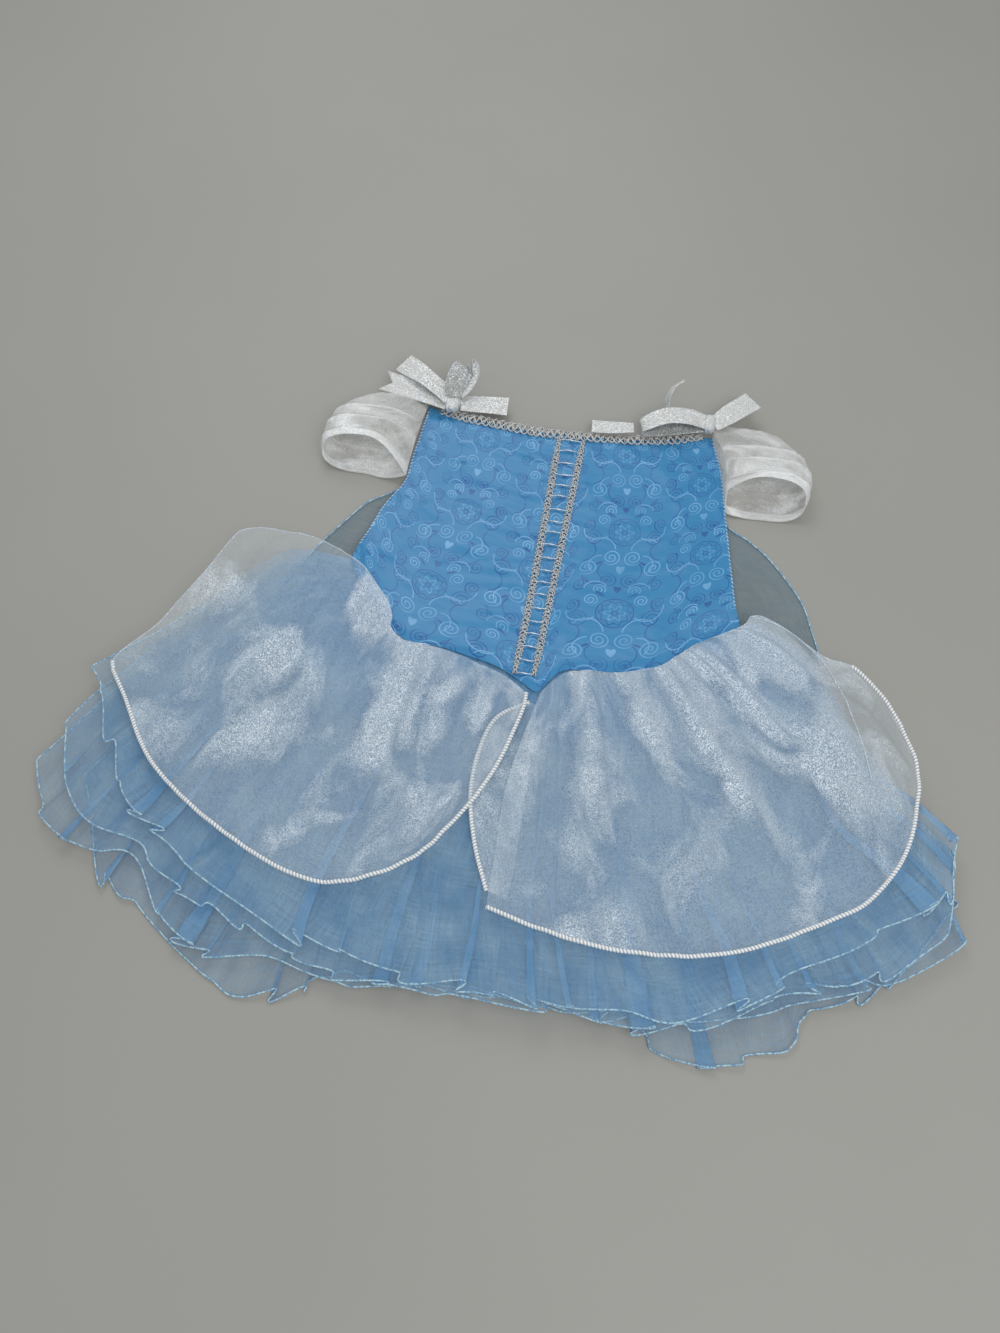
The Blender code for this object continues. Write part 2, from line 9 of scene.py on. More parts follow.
import bpy
import numpy as np
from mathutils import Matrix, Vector


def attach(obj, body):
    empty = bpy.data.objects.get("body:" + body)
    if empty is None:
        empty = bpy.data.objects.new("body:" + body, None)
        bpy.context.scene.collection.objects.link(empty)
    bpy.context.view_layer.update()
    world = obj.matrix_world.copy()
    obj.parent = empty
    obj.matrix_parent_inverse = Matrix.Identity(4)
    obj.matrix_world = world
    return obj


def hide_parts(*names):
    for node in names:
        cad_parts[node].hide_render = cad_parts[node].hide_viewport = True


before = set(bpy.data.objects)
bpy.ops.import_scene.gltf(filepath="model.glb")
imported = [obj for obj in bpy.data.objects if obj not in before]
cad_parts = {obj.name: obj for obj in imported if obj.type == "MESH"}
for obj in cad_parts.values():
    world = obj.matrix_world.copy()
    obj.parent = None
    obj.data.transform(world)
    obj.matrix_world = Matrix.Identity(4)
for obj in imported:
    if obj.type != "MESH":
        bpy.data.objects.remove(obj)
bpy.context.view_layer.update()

# Camera, table and light
# The dress lies on a plain matt table top. It is seen from the hem side, 60 degrees down,
# in soft even light, with one large panel high over the neckline and one over the hem.
EYE = Vector((0.0527, -0.4566, 0.7826))
LOOK = Vector((-0.0162, -0.0100, 0.0))
LAMPS = [  # name, place, side of the panel in metres, watts
    ("lamp_neckline", (-0.35, 1.0, 1.1), 0.8, 6.0),
    ("lamp_hem", (0.55, -0.75, 1.45), 1.2, 13.0),
]


def linear(colour):
    """sRGB hex to linear: c / 12.92 up to 0.04045, and ((c + 0.055) / 1.055) ^ 2.4 above."""
    parts = [int(colour[k:k + 2], 16) / 255 for k in (1, 3, 5)]
    return tuple(c / 12.92 if c <= 0.04045 else ((c + 0.055) / 1.055) ** 2.4 for c in parts) + (1.0,)


def add(tree, kind, *inputs, named=None, **settings):
    """Adds one shader node; an input is a value, a socket, or a node, whose first output is linked."""
    item = tree.nodes.new("ShaderNode" + kind)
    for key, value in settings.items():
        setattr(item, key, value)
    for key, value in list(enumerate(inputs)) + list((named or {}).items()):
        if isinstance(value, bpy.types.Node):
            value = value.outputs[0]
        if isinstance(value, bpy.types.NodeSocket):
            tree.links.new(value, item.inputs[key])
        elif value is not None:
            item.inputs[key].default_value = value
    return item


def new_material(name, colour, rough, metal=0.0):
    """Material with its shader's plain numbers set; the pattern's nodes are added after."""
    made = bpy.data.materials.new(name)
    made.use_nodes = True
    shader = made.node_tree.nodes["Principled BSDF"]
    shader.inputs["Base Color"].default_value = linear(colour)
    shader.inputs["Roughness"].default_value = rough
    shader.inputs["Metallic"].default_value = metal
    return made, made.node_tree, shader


scene = bpy.context.scene
scene.view_settings.view_transform = "Standard"
scene.cycles.transparent_max_bounces = 40

camera = bpy.data.objects.new("camera", bpy.data.cameras.new("camera"))
camera.data.lens = 1200 / 1333 * 36
camera.location = EYE
camera.rotation_euler = (LOOK - EYE).to_track_quat("-Z", "Y").to_euler()
scene.collection.objects.link(camera)
scene.camera = camera

for name, spot, side, watts in LAMPS:
    lamp = bpy.data.objects.new(name, bpy.data.lights.new(name, "AREA"))
    lamp.data.size = side
    lamp.data.energy = watts
    lamp.location = spot
    lamp.rotation_euler = (-Vector(spot)).to_track_quat("-Z", "Y").to_euler()
    scene.collection.objects.link(lamp)

scene.world = bpy.data.worlds.new("studio")
scene.world.use_nodes = True
sky = scene.world.node_tree.nodes["Background"]
sky.inputs["Color"].default_value = linear("#e9eff5")
sky.inputs["Strength"].default_value = 0.50

# Laminate table top: warm pale grey, moulded with a very fine soft grain.
table_look, tree, shader = new_material("laminate_moulded_matt", "#9f9d96", 0.62)
place = add(tree, "TexCoord")
cloudy = add(tree, "TexNoise", place.outputs["Object"], named={"Scale": 3.0, "Detail": 3.0})
tone = add(tree, "Mix", data_type="RGBA", named={0: cloudy, 6: linear("#9b9992"), 7: linear("#a3a19a")})
tree.links.new(tone.outputs[2], shader.inputs["Base Color"])
grain = add(tree, "TexNoise", place.outputs["Object"], named={"Scale": 900.0, "Detail": 2.0})
bump = add(tree, "Bump", named={"Strength": 0.08, "Distance": 0.0003, "Height": grain})
tree.links.new(bump.outputs[0], shader.inputs["Normal"])

table_mesh = bpy.data.meshes.new("table_top")
table_mesh.from_pydata([(-3, -3, -0.0003), (3, -3, -0.0003), (3, 3, -0.0003), (-3, 3, -0.0003)],
                       [], [(0, 1, 2, 3)])
table_mesh.materials.append(table_look)
table_top = bpy.data.objects.new("table_top", table_mesh)
scene.collection.objects.link(table_top)

# Cape
# A panel of very sheer blue organza sewn in behind the bodice, with a narrow rolled edge in
# blue thread. It lies flat on the table and shows only beyond the bodice's two sides.
MIDDLE_X, MIDDLE_Y = -8.5, 24.0
CAPE_TOP = [(-104, 230), (0, 226), (106, 230)]
CAPE_LEFT = [(-104, 230), (-118, 183), (-134, 166), (-155, 150), (-169, 129),
             (-181, 109), (-190, 92), (-194, 80)]
CAPE_RIGHT = [(106, 230), (126, 186), (140, 167), (153, 159), (172, 142), (197, 107),
              (206, 81), (211, 64), (213, 51)]
CAPE_BOTTOM = [(-194, 80), (-60, 62), (60, 58), (213, 51)]
HEM_THREAD = 0.62   # radius of a rolled hem's thread


def smooth_line(corners, count):
    """Catmull-Rom curve through the corners, read at count + 1 equal steps of its length."""
    corners = np.array(corners, float)
    ends = np.vstack([2 * corners[0] - corners[1], corners, 2 * corners[-1] - corners[-2]])
    part = np.linspace(0, 1, 9)[:-1, None]
    a, b, c, d = (ends[k:len(ends) - 3 + k, None] for k in range(4))
    line = 0.5 * (2 * b + (c - a) * part + (2 * a - 5 * b + 4 * c - d) * part ** 2
                  + (3 * b - a - 3 * c + d) * part ** 3)
    line = np.vstack([line.reshape(-1, corners.shape[1]), corners[-1:]])
    run = np.concatenate([[0], np.cumsum(np.linalg.norm(np.diff(line, axis=0), axis=1))])
    steps = np.asarray(count, float) if np.ndim(count) else np.linspace(0, 1, count + 1)
    return np.column_stack([np.interp(steps * run[-1], run, axis) for axis in line.T])


def panel(top, left, right, hem, rows, columns):
    """Coons patch: (1-v) top + v hem + (1-u) left + u right, less the corners' own bilinear blend."""
    u, v = np.linspace(0, 1, columns + 1), np.linspace(0, 1, rows + 1)
    t, b = smooth_line(top, u), smooth_line(hem, u)
    l, r = smooth_line(left, v), smooth_line(right, v)
    u, v = u[None, :, None], v[:, None, None]
    blend = (1 - v) * t[None] + v * b[None] + (1 - u) * l[:, None] + u * r[:, None]
    corners = ((1 - u) * (1 - v) * t[0] + u * (1 - v) * t[-1]
               + (1 - u) * v * b[0] + u * v * b[-1])
    return blend - corners


def grid_part(grid, size, wrap=False):
    """Faces and UV of a grid of points: UV runs from 0 to size mm, in units of 100 mm. A wrapped
    grid closes round on itself and has a flat cap over each end."""
    rows, columns = grid.shape[:2]
    i, j = np.meshgrid(np.arange(rows - 1), np.arange(columns - 1 + wrap), indexing="ij")
    down, across = np.stack([i, i + 1, i + 1, i], -1), np.stack([j, j, j + 1, j + 1], -1)
    faces = (down * columns + across % columns).reshape(-1, 4).tolist()
    uv = np.stack([across / (columns - 1 + wrap) * size[0], down / (rows - 1) * size[1]], -1) / 100
    uv = uv.reshape(-1, 2)
    if wrap:
        faces += [list(range(columns)), list(range(rows * columns - 1, (rows - 1) * columns - 1, -1))]
        uv = np.vstack([uv, np.zeros((2 * columns, 2))])
    return grid.reshape(-1, 3), faces, uv


def tube(path, radius, around=8):
    """Thread along a path: at each point a ring, radius (cos side + sin over), square to the path."""
    along = np.gradient(path, axis=0)
    along /= np.linalg.norm(along, axis=1)[:, None]
    side = np.cross(along, (0, 0, 1))
    side /= np.maximum(np.linalg.norm(side, axis=1), 1e-6)[:, None]
    over = np.cross(side, along)
    turn = np.arange(around) * 2 * math.pi / around
    ring = np.cos(turn)[:, None] * side[:, None] + np.sin(turn)[:, None] * over[:, None]
    length = np.linalg.norm(np.diff(path, axis=0), axis=1).sum()
    wide = np.broadcast_to(np.asarray(radius, float), ring.shape[:2])[..., None]
    return grid_part(path[:, None] + wide * ring, (2 * math.pi * float(np.mean(wide)), length), wrap=True)


def piece(name, parts, material, nodes=(), marks=None):
    """One object of the given parts, moved to the dress's middle, that rides the whole dress."""
    points, faces, uv, start = [], [], [], 0
    for part_points, part_faces, part_uv in parts:
        points.append(part_points)
        faces += [[k + start for k in face] for face in part_faces]
        uv.append(part_uv)
        start += len(part_points)
    mesh = bpy.data.meshes.new(name)
    mesh.from_pydata(((np.vstack(points) - (MIDDLE_X, MIDDLE_Y, 0)) * 0.001).tolist(), [], faces)
    mesh.uv_layers.new(name="cloth").data.foreach_set("uv", np.vstack(uv).ravel())
    for mark, values in (marks or {}).items():
        mesh.attributes.new(mark, "FLOAT", "POINT").data.foreach_set(
            "value", np.asarray(values, np.float32).ravel())
    mesh.shade_smooth()
    mesh.materials.append(material)
    item = bpy.data.objects.new(name, mesh)
    scene.collection.objects.link(item)
    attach(item, "root")
    if nodes:
        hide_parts(*nodes)
    return item


def organza(name, colour, shaded_colour, clear, dense):
    """Sheer plain weave. Opacity = clear, more where the fold mark says that folds crowd, and a
    little more or less along each thread. Threads of 0.15 mm are drawn 1.4 mm wide to show.
    The colour goes towards the darker second colour in random clouds, and more where the fold
    mark is high: there the darker colour is painted shade."""
    made, tree, shader = new_material(name, colour, 0.7)
    uv = add(tree, "UVMap")
    warp = add(tree, "Mapping", uv, named={"Scale": (100 / 1.4, 100 / 26.0, 1.0)})
    weft = add(tree, "Mapping", uv, named={"Scale": (100 / 26.0, 100 / 1.4, 1.0)})
    warp = add(tree, "TexNoise", warp, named={"Scale": 1.0, "Detail": 2.0})
    weft = add(tree, "TexNoise", weft, named={"Scale": 1.0, "Detail": 2.0})
    weave = add(tree, "Math", warp, weft, operation="ADD")
    fold_light = add(tree, "Attribute", attribute_name="fold_and_light_mark")
    veil = add(tree, "Math", fold_light.outputs["Fac"], dense - clear, clear, operation="MULTIPLY_ADD")
    thread = add(tree, "MapRange", weave, 0.7, 1.3, -0.13, 0.13)
    alpha = add(tree, "Math", veil, thread, operation="ADD", use_clamp=True)
    tree.links.new(alpha.outputs[0], shader.inputs["Alpha"])
    cloudy = add(tree, "TexNoise", uv, named={"Scale": 3.2, "Detail": 3.0})
    blend = add(tree, "MapRange", cloudy, 0.35, 0.65, 0.0, 1.0)
    # Where the fold mark is high the colour is pushed to the darker colour: painted shade.
    blend = add(tree, "Math", fold_light.outputs["Fac"], 0.7, blend, operation="MULTIPLY_ADD", use_clamp=True)
    tone = add(tree, "Mix", data_type="RGBA", named={0: blend, 6: linear(colour), 7: linear(shaded_colour)})
    tree.links.new(tone.outputs[2], shader.inputs["Base Color"])
    bump = add(tree, "Bump", named={"Strength": 0.35, "Distance": 0.0003, "Height": weave})
    tree.links.new(bump.outputs[0], shader.inputs["Normal"])
    shader.inputs["Sheen Weight"].default_value = 0.35
    shader.inputs["Sheen Roughness"].default_value = 0.35
    shader.inputs["Specular IOR Level"].default_value = 0.3
    return made


# Nylon organza, woven sheer: what lies under it shows through, bluer where it doubles. Its colour is darker
# and greyer than the skirts' organza: painted shade for where it lies beside and under the bodice.
cape_look = organza("nylon_organza_woven_shaded_grey_blue", "#6d8c9a", "#5f808f", 0.40, 0.6)

# Polyester overlock thread: light blue, with a pearly glint painted as lighter and darker blue spots, wound
# round the cloth's edge.
hem_look, tree, shader = new_material("polyester_thread_wound_light_blue", "#a5cbe4", 0.42)
uv = add(tree, "UVMap")
wound = add(tree, "Mapping", uv, named={"Scale": (100 / 2.4, 100 / 1.6, 1.0), "Rotation": (0, 0, 0.6)})
rib = add(tree, "TexWave", wound, named={"Scale": 0.31, "Distortion": 0.6, "Detail": 1.0},
          bands_direction="Y")
# Painted glint: noise spots that go from darker to lighter blue.
glint = add(tree, "TexNoise", uv, named={"Scale": 40.0, "Detail": 1.0})
pearl = add(tree, "ValToRGB", glint)
pearl.color_ramp.elements[0].position, pearl.color_ramp.elements[0].color = 0.38, linear("#6f9fc4")
pearl.color_ramp.elements[1].position, pearl.color_ramp.elements[1].color = 0.62, linear("#bcdde8")
tree.links.new(pearl.outputs[0], shader.inputs["Base Color"])
bump = add(tree, "Bump", named={"Strength": 0.8, "Distance": 0.0004, "Height": rib})
tree.links.new(bump.outputs[0], shader.inputs["Normal"])
shader.inputs["Sheen Weight"].default_value = 0.4

plan = panel(CAPE_TOP, CAPE_LEFT, CAPE_RIGHT, CAPE_BOTTOM, 60, 120)
x, y = plan[..., 0], plan[..., 1]
rise = 0.45 + 0.3 * np.sin(x / 9 + 0.7 * np.sin(y / 21)) ** 2
cape = piece("cape_sheer_panel", [grid_part(np.dstack([plan, rise]), (400, 165))], cape_look,
             ["cape"], {"fold_and_light_mark": np.zeros(x.size)})
edges = [np.dstack([plan, rise + 0.4])[:, k] for k in (0, -1)]
cape_edge = piece("cape_rolled_edge", [tube(smooth_line(edge, 260), HEM_THREAD, 8) for edge in edges],
                  hem_look)

# Back of the bodice
# Plain blue satin, cut a little smaller than the front and hidden under it.
BACK_NECKLINE = [(-120, 246), (-60, 237), (0, 235), (60, 239), (116, 248)]
BACK_LEFT = [(-120, 246), (-124, 205), (-127, 172), (-138, 149), (-148, 107), (-150, 75)]
BACK_RIGHT = [(116, 248), (126, 222), (133, 174), (142, 110), (147, 74)]
BACK_WAIST = [(-150, 75), (-90, 71), (0, 70), (90, 71), (147, 74)]

# Polyester satin, woven with long floats: soft broad shine, fine lines across.
plain_satin, tree, shader = new_material("polyester_satin_woven_blue", "#4d95cb", 0.42)
uv = add(tree, "UVMap")
float_lines = add(tree, "Mapping", uv, named={"Scale": (100 / 20.0, 100 / 0.9, 1.0)})
float_lines = add(tree, "TexNoise", float_lines, named={"Scale": 1.0, "Detail": 2.0})
tone = add(tree, "Mix", data_type="RGBA",
           named={0: float_lines, 6: linear("#448bc3"), 7: linear("#569ed2")})
tree.links.new(tone.outputs[2], shader.inputs["Base Color"])
bump = add(tree, "Bump", named={"Strength": 0.3, "Distance": 0.0002, "Height": float_lines})
tree.links.new(bump.outputs[0], shader.inputs["Normal"])
shader.inputs["Sheen Weight"].default_value = 0.25

plan = panel(BACK_NECKLINE, BACK_LEFT, BACK_RIGHT, BACK_WAIST, 50, 80)
rise = 1.7 + 0.3 * np.sin(plan[..., 1] / 5.5)
bodice_back = piece("bodice_back_satin", [grid_part(np.dstack([plan, rise]), (280, 170))], plain_satin,
                    ["bodice_back"])

# Underskirt
# Two gathered tubes of blue organza, each lying with its front on its back, so four layers
# show at the hem. Each hem is rolled and overlocked in light blue pearly thread.
WAIST_LEFT, WAIST_RIGHT, WAIST_Y = -105.0, 122.0, 62.0
SKIRT_REACH, BIG_FOLD, BIG_FOLDS = 290.0, 4.0, 7.0
TUCK = 3.0
HEM_STEP = 10.0    # how far one pleat's hem may lie past the next
SKIRT_ROWS, PLEAT_COLUMNS, SIDE_HEM = 64, 22, 26    # steps down a skirt, across a pleat, up a side hem
FRONT_WAIST = [(-154, 85), (-140, 62), (-122, 40), (-98, 21), (-71, 19), (-47, 14),
               (-24, 7), (-7, -2), (5, -9), (10, -4), (21, 11), (35, 15), (65, 17),
               (94, 27), (121, 52), (151, 70)]
SKIRTS = {
    "underskirt_back_outer": dict(
        on=["bodice_back"],
        waist=BACK_WAIST, drop=1.2, low=(1.4, 0.0), wave=2.9, broad=0.0, lean=6.0,
        pleats=14, uneven=0.65, phase=0.15,
        left=[(-150, 75), (-190, 60), (-232, 12), (-275, -70), (-302, -131)],
        right=[(147, 74), (190, 52), (236, -8), (280, -80), (310, -122)],
        hem=[(-302, -131), (-275, -181), (-253, -203), (-237, -207), (-193, -238),
             (-173, -249), (-150, -255), (-115, -247), (-101, -236), (-20, -230),
             (78, -229), (105, -238), (118, -248), (147, -256), (191, -242),
             (201, -233), (208, -214), (244, -196), (282, -165), (310, -122)]),
    "underskirt_back_inner": dict(
        on=["underskirt_back_outer"],
        waist=BACK_WAIST, drop=1.2, low=(2.8, 5.0), wave=2.6, broad=0.2, lean=9.5,
        pleats=14, uneven=0.65, phase=0.62,
        left=[(-150, 75), (-194, 70), (-240, 30), (-300, -58), (-335, -121)],
        right=[(147, 74), (192, 58), (238, -4), (288, -84), (318, -140)],
        hem=[(-335, -121), (-318, -157), (-298, -173), (-253, -180), (-216, -216),
             (-183, -232), (-132, -229), (-90, -237), (-19, -234), (59, -235),
             (142, -229), (204, -211), (242, -191), (270, -185), (303, -159),
             (318, -140)]),
    "underskirt_front_inner": dict(
        on=["underskirt_back_inner"],
        waist=FRONT_WAIST, drop=-TUCK, low=(4.3, 9.4), wave=2.6, broad=0.5, lean=9.0,
        pleats=17, uneven=0.6, phase=0.33,
        left=[(-152, 85), (-196, 82), (-240, 40), (-292, -38), (-325, -98)],
        right=[(149, 72), (188, 62), (232, 8), (272, -50), (304, -86)],
        hem=[(-325, -98), (-305, -138), (-283, -160), (-242, -170), (-211, -197),
             (-163, -214), (-119, -228), (-78, -237), (-17, -238), (56, -239),
             (104, -240), (152, -227), (203, -202), (242, -189), (288, -160),
             (300, -126), (304, -86)]),
    "underskirt_front_outer": dict(
        on=["underskirt_front_inner"],
        waist=FRONT_WAIST, drop=-TUCK, low=(5.8, 13.8), wave=3.0, broad=0.8, lean=8.5,
        pleats=21, uneven=0.6, phase=0.8,
        left=[(-152, 85), (-165, 89), (-199, 89), (-219, 73), (-239, 51), (-269, 9),
              (-302, -27), (-317, -42)],
        right=[(149, 72), (165, 77), (188, 66), (208, 50), (229, 14), (248, -32),
               (278, -52), (304, -72)],
        hem=[(-317, -42), (-291, -95), (-265, -138), (-230, -162), (-200, -186),
             (-160, -205), (-123, -217), (-91, -222), (-52, -231), (-13, -234),
             (27, -237), (59, -234), (93, -232), (121, -230), (174, -214),
             (208, -187), (257, -155), (293, -126), (302, -106), (304, -72)]),
}


def reach(x, y):
    """Share of the way from the waist line to the hem: distance from that line over its reach."""
    off = np.maximum(0, np.maximum(WAIST_LEFT - x, x - WAIST_RIGHT))
    return np.hypot(off, np.minimum(y - WAIST_Y, 0) + 0.4 * np.maximum(y - WAIST_Y, 0)) / SKIRT_REACH


def broad_folds(x, y):
    """Broad folds shared by all layers: a cosine of the angle about the waist, growing with reach."""
    turn = np.arctan2(x - 5, 110 - y)
    return BIG_FOLD * reach(x, y) * (0.5 + 0.5 * np.cos(BIG_FOLDS * turn + 0.7 * np.sin(2 * turn)))


def level(low, x, y):
    """Height that goes evenly from low[0] at the waist to low[1] at the hem."""
    return low[0] + (low[1] - low[0]) * reach(x, y)


def pleat_turns(u, count, uneven, phase):
    """Pleats passed at each share u of the width: count times u, let in and out by two slow sines."""
    turn = count * u + uneven * (np.sin(2 * math.pi * (2.3 * u + phase))
                                 + 0.6 * np.sin(2 * math.pi * (5.1 * u + 2.7 * phase)))
    return (turn - turn.min()) / (turn.max() - turn.min()) * count


def lean_over(plan, height, amount):
    """Leans a sheet's pleats sideways: each point goes across the cloth by amount times its height,
    which lays the pleats over each other without letting the sheet cross itself."""
    across = np.gradient(plan, axis=1)
    across /= np.maximum(np.linalg.norm(across, axis=2), 1e-6)[..., None]
    return plan + across * (amount * height)[..., None]


def crumple(x, y, size, seed):
    """Creases of crisp cloth: the sum of (1 - |sin|) squared ridges of about that size in mm, in
    directions picked by a seeded generator, each bent a little by a slow sine."""
    pick = np.random.default_rng(seed)
    total = np.zeros_like(x)
    for k in range(6):
        turn, phase, scale = pick.uniform(0, math.pi), pick.uniform(0, 6), size * pick.uniform(0.7, 1.6)
        bend = 0.8 * np.sin((x * math.sin(turn) - y * math.cos(turn)) / (1.7 * scale) + phase)
        ridge = np.sin((x * math.cos(turn) + y * math.sin(turn)) / scale * math.pi / 2 + phase + bend)
        total += (1 - np.abs(ridge)) ** 2
    return total / 6


# Nylon organza, woven sheer, sky blue: grey-blue where single, opaque sky blue where doubled, and painted
# darker blue as shade near the waist and where pleats turn under.
skirt_look = organza("nylon_organza_woven_sky_blue", "#a1c5de", "#6c9fc9", 0.29, 0.72)

for node, cut in SKIRTS.items():
    waist = [(px, py - cut["drop"]) for px, py in cut["waist"]]
    plan = panel(waist, [waist[0]] + cut["left"][1:], [waist[-1]] + cut["right"][1:], cut["hem"],
                 SKIRT_ROWS, cut["pleats"] * PLEAT_COLUMNS)
    x, y = plan[..., 0], plan[..., 1]
    u, v = np.linspace(0, 1, plan.shape[1])[None, :], np.linspace(0, 1, plan.shape[0])[:, None]
    share = np.minimum(reach(x, y), 1.1)
    turn = pleat_turns(u, cut["pleats"], cut["uneven"], cut["phase"])
    turn = turn + 0.16 * np.sin(2 * math.pi * (1.3 * v + 4.1 * u + cut["phase"])) * v
    height = 0.5 - 0.5 * np.cos(2 * math.pi * turn)
    height = height * (0.75 + 0.25 * np.sin(2 * math.pi * (turn * 0.37 + cut["phase"])))
    grow = share ** 1.5
    if cut["broad"] == 0:
        low = cut["low"][0] * np.clip((150 - share * SKIRT_REACH) / 45, 0, 1)
    else:
        low = level(cut["low"], x, y) + cut["broad"] * broad_folds(x, y)
    sway = 1.0 + 0.3 * np.sin(2 * math.pi * (1.7 * u + cut["phase"]))
    down = np.gradient(plan, axis=0)
    down /= np.maximum(np.linalg.norm(down, axis=2), 1e-6)[..., None]
    step = HEM_STEP * (height - 0.5) * np.sin(2 * math.pi * (0.21 * turn + cut["phase"])) * v ** 4
    # Where a pleat has turned under, its cloth is marked, so that the doubled strip shows more opaque and is
    # painted darker blue as shade.
    shift = (height - 0.45) * cut["wave"] * grow * cut["lean"] * sway
    spacing = np.linalg.norm(np.gradient(plan, axis=1), axis=2)
    tucked = np.clip(-2.5 * (1 + np.gradient(shift, axis=1) / spacing), 0, 0.8)
    plan = lean_over(plan, shift, 1.0) + down * step[..., None]
    fine = 0.12 * np.sin(2 * math.pi * (turn * 2.6 + 0.8 * v)) + 0.3 * crumple(x, y, 30, cut["pleats"])
    cloth = np.dstack([plan, low + cut["wave"] * grow * height + fine * (0.3 + v) + 0.5])
    # The mark is high near the waist and on turned-under strips: more opacity there, and painted shade in
    # the colour.
    fold_light = np.clip(np.maximum(1.0 - share * 2.4, tucked), 0, 1)
    skirt = piece(node + "_organza", [grid_part(cloth, (1500, 230))], skirt_look,
                  [node], {"fold_and_light_mark": fold_light})
    hem = np.vstack([cloth[-SIDE_HEM:, 0][:-1], cloth[-1], cloth[-SIDE_HEM:, -1][:-1][::-1]])
    hem = smooth_line(hem + (0, 0, 0.2), int(len(hem) * 1.6))
    hem = piece(node + "_hem", [tube(hem, HEM_THREAD, 6)], hem_look)

# Front of the bodice
# Printed blue satin, ending below in a V. The cloth is puckered across by the trim sewn down
# its middle, and its two side edges are overlocked in white.
NECKLINE = [(-123, 257), (-107, 251), (-86, 246), (-60, 243), (-26, 240), (1, 240),
            (34, 242), (67, 246), (100, 254), (118, 258)]
BODICE_LEFT = [(-123, 257), (-125, 226), (-127, 199), (-129, 172), (-140, 149),
               (-146, 128), (-151, 107), (-154, 85)]
BODICE_RIGHT = [(118, 258), (128, 222), (135, 174), (141, 133), (145, 105),
                (147, 88), (151, 70)]
PETAL_LOW = (7.4, 19.6)
BODICE_CLOTH = 1.5


def at_side(corners, y):
    """x of a side border at height y, along straight lines between its corners."""
    line = np.array(sorted((b, a) for a, b in corners))
    return np.interp(y, line[:, 0], line[:, 1])


def waist_at(x):
    """y of the front's lower edge at x, along straight lines between its corners."""
    line = np.array(FRONT_WAIST, float)
    return np.interp(x, line[:, 0], line[:, 1])


def bodice_low(x, y):
    """Underside of the front: a low crown that rises to the skirt's height at the waist."""
    left, right = at_side(BODICE_LEFT, y), at_side(BODICE_RIGHT, y)
    across = np.clip((2 * x - left - right) / (right - left), -1, 1)
    crown = 2.9 + 3.0 * (1 - across ** 2) + 0.35 * (1 - across ** 4) * np.sin(y / 6.8 + x / 60)
    near = np.clip(1 - (y - waist_at(x)) / 46, 0, 1)
    near = near * near * (3 - 2 * near)
    return crown * (1 - near) + level(PETAL_LOW, x, y) * near


def satin_height(x, y):
    """Top of the front: the crown, with puckers that run across and fade to the sides."""
    wander = 1.6 * np.sin(x / 31 + 0.5) + 1.1 * np.sin(x / 17 - y / 60)
    pucker = 0.34 * np.sin((y + 3 * wander) / 2.1) * np.exp(-(x / 95) ** 2)
    slack = 0.55 * np.sin((y + 4 * wander) / 5.3 + 1.2 * np.sin(x / 40)) * (0.4 + 0.6 * np.abs(x) / 140)
    edge = np.clip(1 - (y - waist_at(x)) / 11, 0, 1)
    folds = 2.4 * crumple(x * 0.55 + 6, y + 0.3 * x, 25, 5)
    return bodice_low(x, y) + BODICE_CLOTH + 0.8 * pucker + 0.6 * slack + 1.4 * folds - 0.6 - 1.7 * edge ** 2


# Polyester satin printed with a small tonal scroll of this part's own design. Each stamp is
# a line or shape about a point: kind, x, y, size, second size, turn, ink. The pattern is
# mirrored about x = 0 and repeats each 67 by 74 mm, every second column half a repeat lower.
# Places are in units of 1.15 mm.
REPEAT_X, REPEAT_Y, INK_LINE = 58.0, 64.0, 0.36
PRINT_UNITS = 87.0    # units of the print in 100 mm
STAMPS = [
    ("ring", 0, 17.0, 10.6, 0, 0, "dark"), ("rosette", 0, 17.0, 8.2, 0.9, 10, "dark"),
    ("rosette", 0, 17.0, 4.4, 1.5, 6, "light"), ("ring", 0, 17.0, 1.6, 0, 0, "dark"),
    ("spiral", 7.0, -3.6, 6.0, 2.6, 1, "light"), ("spiral", 20.6, 11.0, 6.4, 2.7, -1, "dark"),
    ("spiral", 20.8, -12.6, 6.4, 2.8, 1, "light"), ("spiral", 6.6, -22.4, 5.6, 2.5, -1, "dark"),
    ("spiral", 22.6, -26.2, 5.2, 2.4, -1, "dark"), ("spiral", 14.8, 26.0, 4.4, 2.1, 1, "light"),
    ("arc", 14.4, 2.4, 9.2, -0.3, 1.0, "light"), ("arc", 14.0, -17.2, 8.8, 0.1, -1.0, "dark"),
    ("arc", 25.6, 0.6, 7.8, -1.0, -0.2, "dark"), ("arc", 12.6, -31.0, 7.0, 0.2, 1.0, "light"),
    ("arc", 12.8, -9.6, 7.4, 1.0, 0.3, "light"), ("arc", 27.0, 22.0, 6.6, -0.8, -0.6, "dark"),
    ("heart", 0, -13.6, 2.7, 0, 0, "light"), ("heart", 0, -29.8, 2.4, 0, 0, "dark"),
    ("leaf", 10.4, 31.0, 4.6, 0.9, 0.5, "dark"), ("spiral", 25.0, 22.4, 4.6, 2.1, 1, "dark"),
    ("arc", 5.4, -14.4, 8.2, 0.9, -0.4, "dark"), ("arc", 18.6, 19.4, 9.6, 0.4, -1.0, "light"),
    ("leaf", 13.6, -8.4, 3.8, 0.8, -0.6, "dark"), ("spiral", 10.8, -30.2, 4.4, 2.0, 1, "light"),
]
print_look, tree, shader = new_material("polyester_satin_printed_tonal_scroll", "#4b93c9", 0.40)
uv = add(tree, "UVMap")
